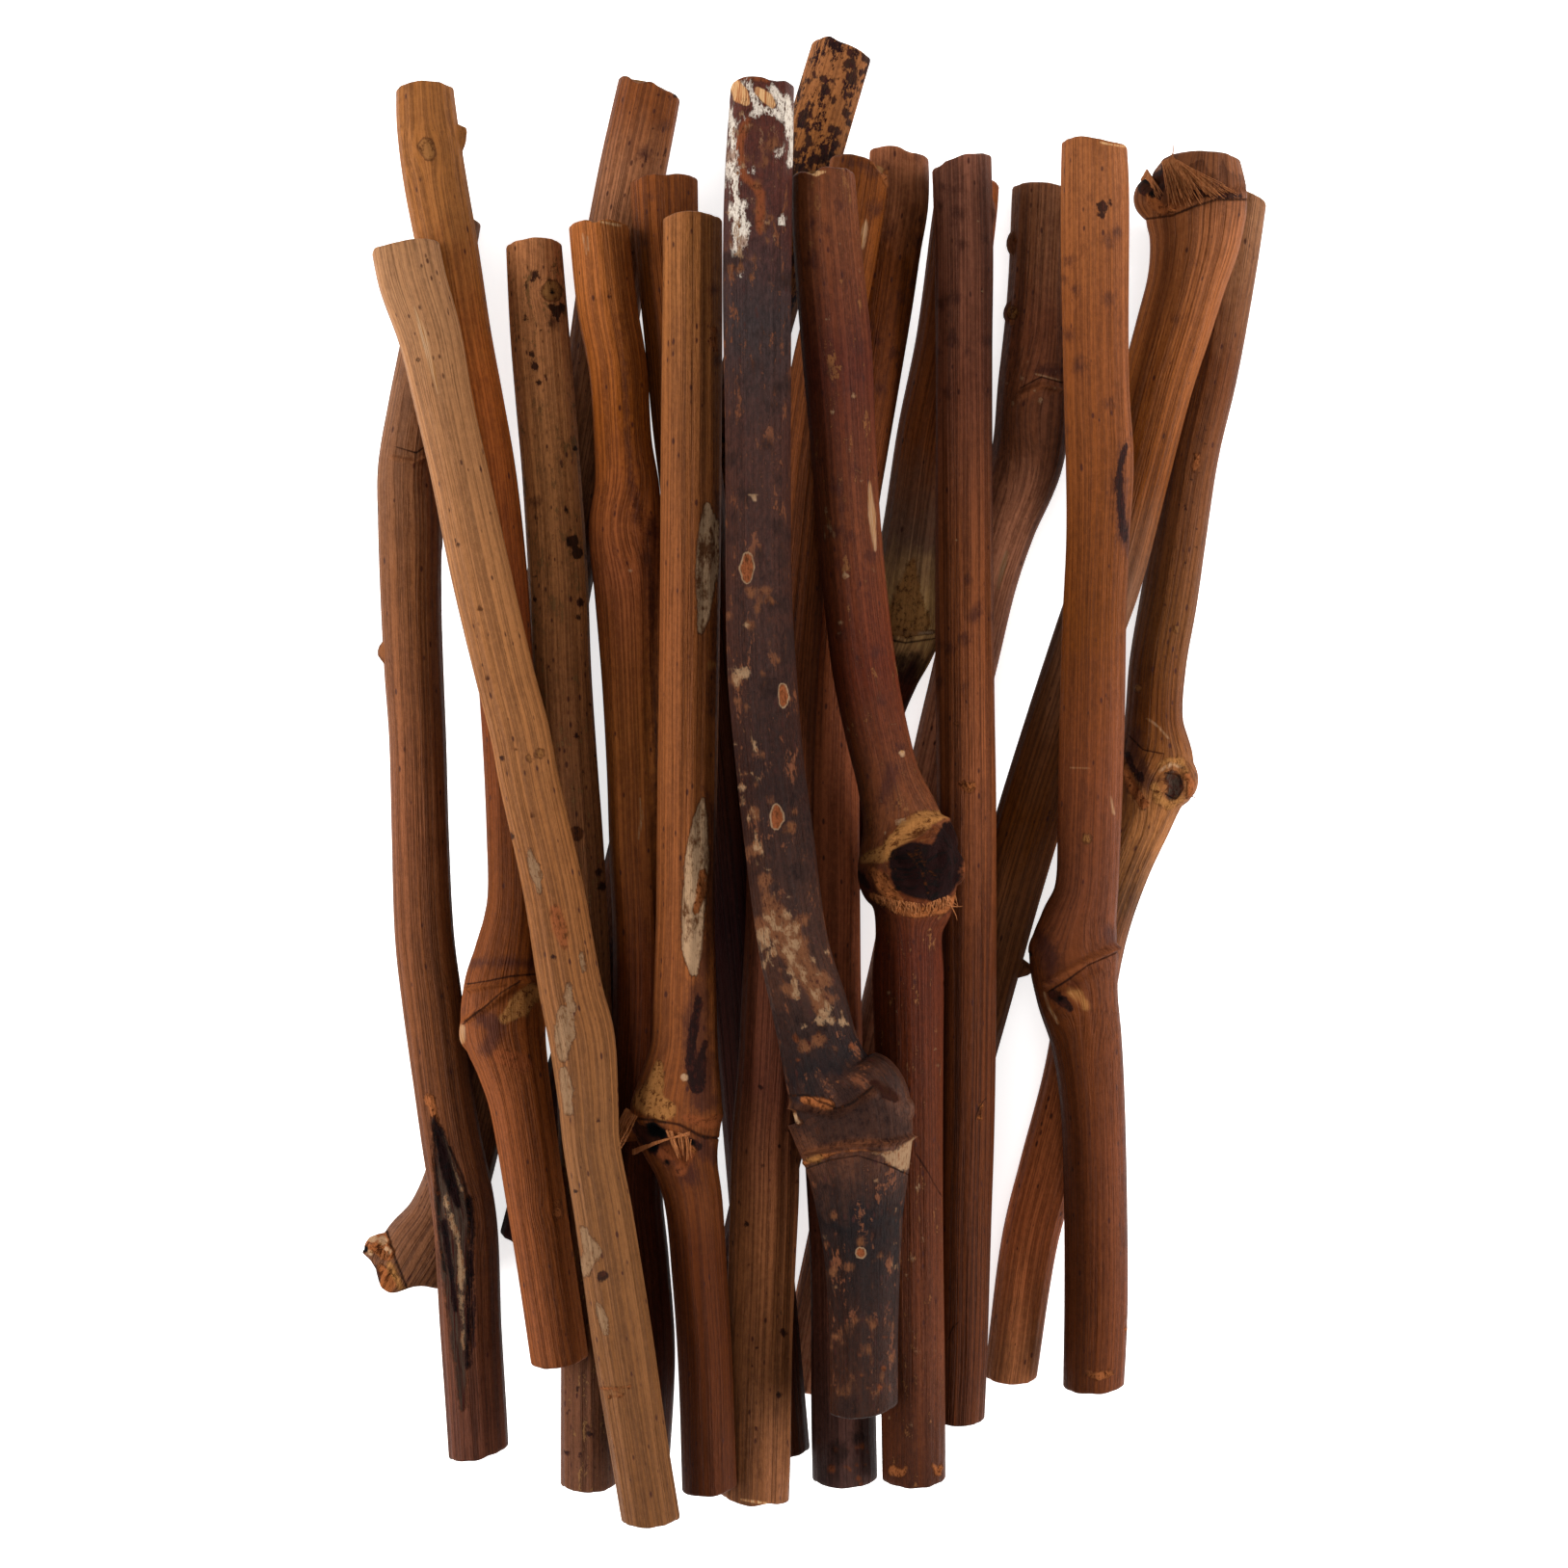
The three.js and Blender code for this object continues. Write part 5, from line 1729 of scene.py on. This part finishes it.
class TWIGS_OT_right_bent(Twig, bpy.types.Operator):
    """Smooth orange-brown twig in front at the right, with a diagonal ridge at its knuckle"""

    bl_idname = "twigs.right_bent"
    bl_label = "Right Bent Twig"
    node = "right_bent_twig"
    cuts = (6, -4)
    spine = [
        (1135, 144, 67), (1136, 200, 70), (1138, 400, 69), (1141, 480, 71), (1139, 560, 65),
        (1136, 640, 64), (1134, 750, 65), (1131, 850, 65), (1127, 925, 66), (1119, 958, 80),
        (1114, 990, 92), (1117, 1030, 85), (1127, 1080, 73), (1134, 1150, 66), (1137, 1250, 65),
        (1137, 1350, 65), (1134, 1444, 62),
    ]

    def execute(self, context):
        twig = self.start(context)
        twig.lump(1082, 984, 15, 14, 60, 6)
        twig.chip(0, 0.3, 0.5, 0.5)
        twig.stroke("chip", (1142, 148, 0.8), (1160, 151, 1), (1168, 152, 0.8))
        twig.spots("blotch", (1144, 215, 7), (1143, 223, 5), (1138, 213, 4), (1151, 210, 3))
        twig.spots("stain", (1115, 300, 5), (1150, 310, 5), (1120, 380, 4))
        twig.stroke("stain", (1168, 458, 2), (1162, 490, 5), (1163, 530, 6), (1168, 560, 4), (1170, 575, 2))
        twig.stroke("blotch", (1168, 462, 3), (1162, 485, 4), (1161, 510, 4), (1165, 545, 4),
                    (1168, 562, 2))
        twig.stroke("streak", (1110, 797, 0.6), (1124, 797, 0.8), (1132, 798, 0.6))
        twig.spots("knot", (1128, 870, 5))
        twig.stroke("streak", (1152, 824, 0.8), (1156, 846, 1))
        twig.stroke("stain", (1078, 970, 5), (1088, 992, 8), (1092, 1014, 6))
        twig.stroke("stain", (1150, 965, 4), (1155, 985, 3))
        twig.ring("ridge", (1086, 1021, 5), (1120, 1001, 5), (1157, 983, 5))
        twig.ring("line", (1088, 1029, 0.8), (1106, 1018, 1), (1130, 1001, 1), (1157, 989, 0.8))
        # Painted shade below the ridge: the dent is darkened, and a near-black stroke and a hole lie in its
        # shade
        twig.ring("dent", (1092, 1034, 4), (1112, 1022, 3), (1140, 1006, 3))
        twig.stroke("blotch", (1092, 1032, 5), (1102, 1038, 6), (1110, 1046, 4))
        twig.spots("hole", (1100, 1036, 3))
        twig.stroke("streak", (1084, 1030, 1.2), (1088, 1044, 1.2), (1098, 1062, 1))
        twig.stroke("patch", (1110, 1030, 3), (1118, 1034, 6), (1126, 1044, 4))
        twig.spots("hole", (1068, 990, 3))
        twig.flow(1105, 1030, 50, 0.7)
        twig.stroke("stain", (1168, 1040, 3), (1170, 1180, 3), (1170, 1290, 3))
        twig.spots("torn", (1169, 1365, 2), (1168, 1380, 2))
        twig.stroke("torn", (1128, 1424, 2), (1140, 1428, 5), (1154, 1425, 3))
        twig.scatter("stain", 10, 150, 450, (2, 5))
        wood = Wood(
            [(190, (141, 84, 48)), (330, (128, 72, 39)), (640, (111, 60, 28)), (800, (116, 63, 37)),
             (920, (104, 58, 38)), (1060, (100, 54, 31)), (1200, (109, 59, 36)), (1390, (101, 54, 31))],
            lines=0.3, patchy=0.4, specks=0.25, grit=0.35,
        )
        return twig.finish(context, "orange_wood", wood)


class TWIGS_OT_stage(bpy.types.Operator):
    """Pale floor, soft lamps at both sides and a weak one above, and a camera that looks down"""

    bl_idname = "twigs.stage"
    bl_label = "Floor, Light and Camera"

    def execute(self, context):
        sizes = context.scene.twig_stage
        deselect()
        bpy.ops.mesh.primitive_plane_add(size=sizes.floor, location=(0, 0, 0))
        floor = context.object
        floor.name = "floor"
        shader = Shader("plain pale floor")
        shader.feed(shader.surface.inputs["Base Color"], sizes.floor_colour)
        shader.feed(shader.surface.inputs["Roughness"], 1.0)
        shader.feed(shader.surface.inputs["Specular IOR Level"], FLOOR_SPECULAR)
        shader.feed(shader.surface.inputs["Emission Color"], (1, 1, 1))
        shader.feed(shader.surface.inputs["Emission Strength"], sizes.floor_glow)
        floor.data.materials.append(shader.material)

        upright = math.pi / 2
        for name, angle, power in (
            ("left lamp", math.pi - sizes.lamp_tilt, sizes.side_power),
            ("right lamp", sizes.lamp_tilt, sizes.side_power),
            ("top lamp", upright, sizes.top_power),
        ):
            lamp = bpy.data.lights.new(name, "AREA")
            lamp.shape = "RECTANGLE"
            lamp.size = sizes.lamp_high
            lamp.size_y = sizes.lamp_long
            lamp.energy = power
            held = bpy.data.objects.new(name, lamp)
            held.location = (sizes.lamp_away * math.cos(angle), 0, sizes.lamp_away * math.sin(angle))
            held.rotation_euler = (0, upright - angle, 0)
            context.scene.collection.objects.link(held)

        world = bpy.data.worlds.new("light from all round")
        world.use_nodes = True
        world.node_tree.nodes["Background"].inputs["Color"].default_value = (1, 1, 1, 1)
        world.node_tree.nodes["Background"].inputs["Strength"].default_value = sizes.sky
        context.scene.world = world
        context.scene.view_settings.view_transform = "Standard"

        eye = bpy.data.cameras.new("eye")
        eye.sensor_width = sizes.sensor
        eye.lens = sizes.sensor * EYE_HEIGHT / (PLAN_WIDTH * UNIT)
        camera = bpy.data.objects.new("eye", eye)
        camera.location = (*place(*EYE, 0), EYE_HEIGHT)
        context.scene.collection.objects.link(camera)
        context.scene.camera = camera
        return {"FINISHED"}


# In the order of their classes above
TWIG_OPERATORS = Twig.__subclasses__()


class TWIGS_PT_bundle(bpy.types.Panel):
    """Lists the twigs and the stage"""

    bl_label = "Bundle of Twigs"
    bl_space_type = "VIEW_3D"
    bl_region_type = "UI"
    bl_category = "Twigs"

    def draw(self, context):
        """Shows the settings, and a button for each operator."""
        for group in (context.scene.twig_sizes, context.scene.twig_colours, context.scene.twig_stage):
            box = self.layout.box()
            for name in group.__annotations__:
                box.prop(group, name)
        for operator in (*TWIG_OPERATORS, TWIGS_OT_stage):
            self.layout.operator(operator.bl_idname)


CLASSES = [TwigSizes, TwigColours, StageSizes, *TWIG_OPERATORS, TWIGS_OT_stage, TWIGS_PT_bundle]


def register():
    """Adds the operators, the panel and the settings."""
    for kind in CLASSES:
        bpy.utils.register_class(kind)
    bpy.types.Scene.twig_sizes = PointerProperty(type=TwigSizes)
    bpy.types.Scene.twig_colours = PointerProperty(type=TwigColours)
    bpy.types.Scene.twig_stage = PointerProperty(type=StageSizes)


def unregister():
    """Takes them away again."""
    del bpy.types.Scene.twig_stage
    del bpy.types.Scene.twig_colours
    del bpy.types.Scene.twig_sizes
    for kind in reversed(CLASSES):
        bpy.utils.unregister_class(kind)


def main():
    """Models the bundle and its stage."""
    register()
    for operator in TWIG_OPERATORS:
        getattr(bpy.ops.twigs, operator.bl_idname.split(".")[1])()
    bpy.data.objects.remove(bpy.data.objects["straight_stick"])
    bpy.ops.twigs.stage()


if __name__ == "__main__":
    main()
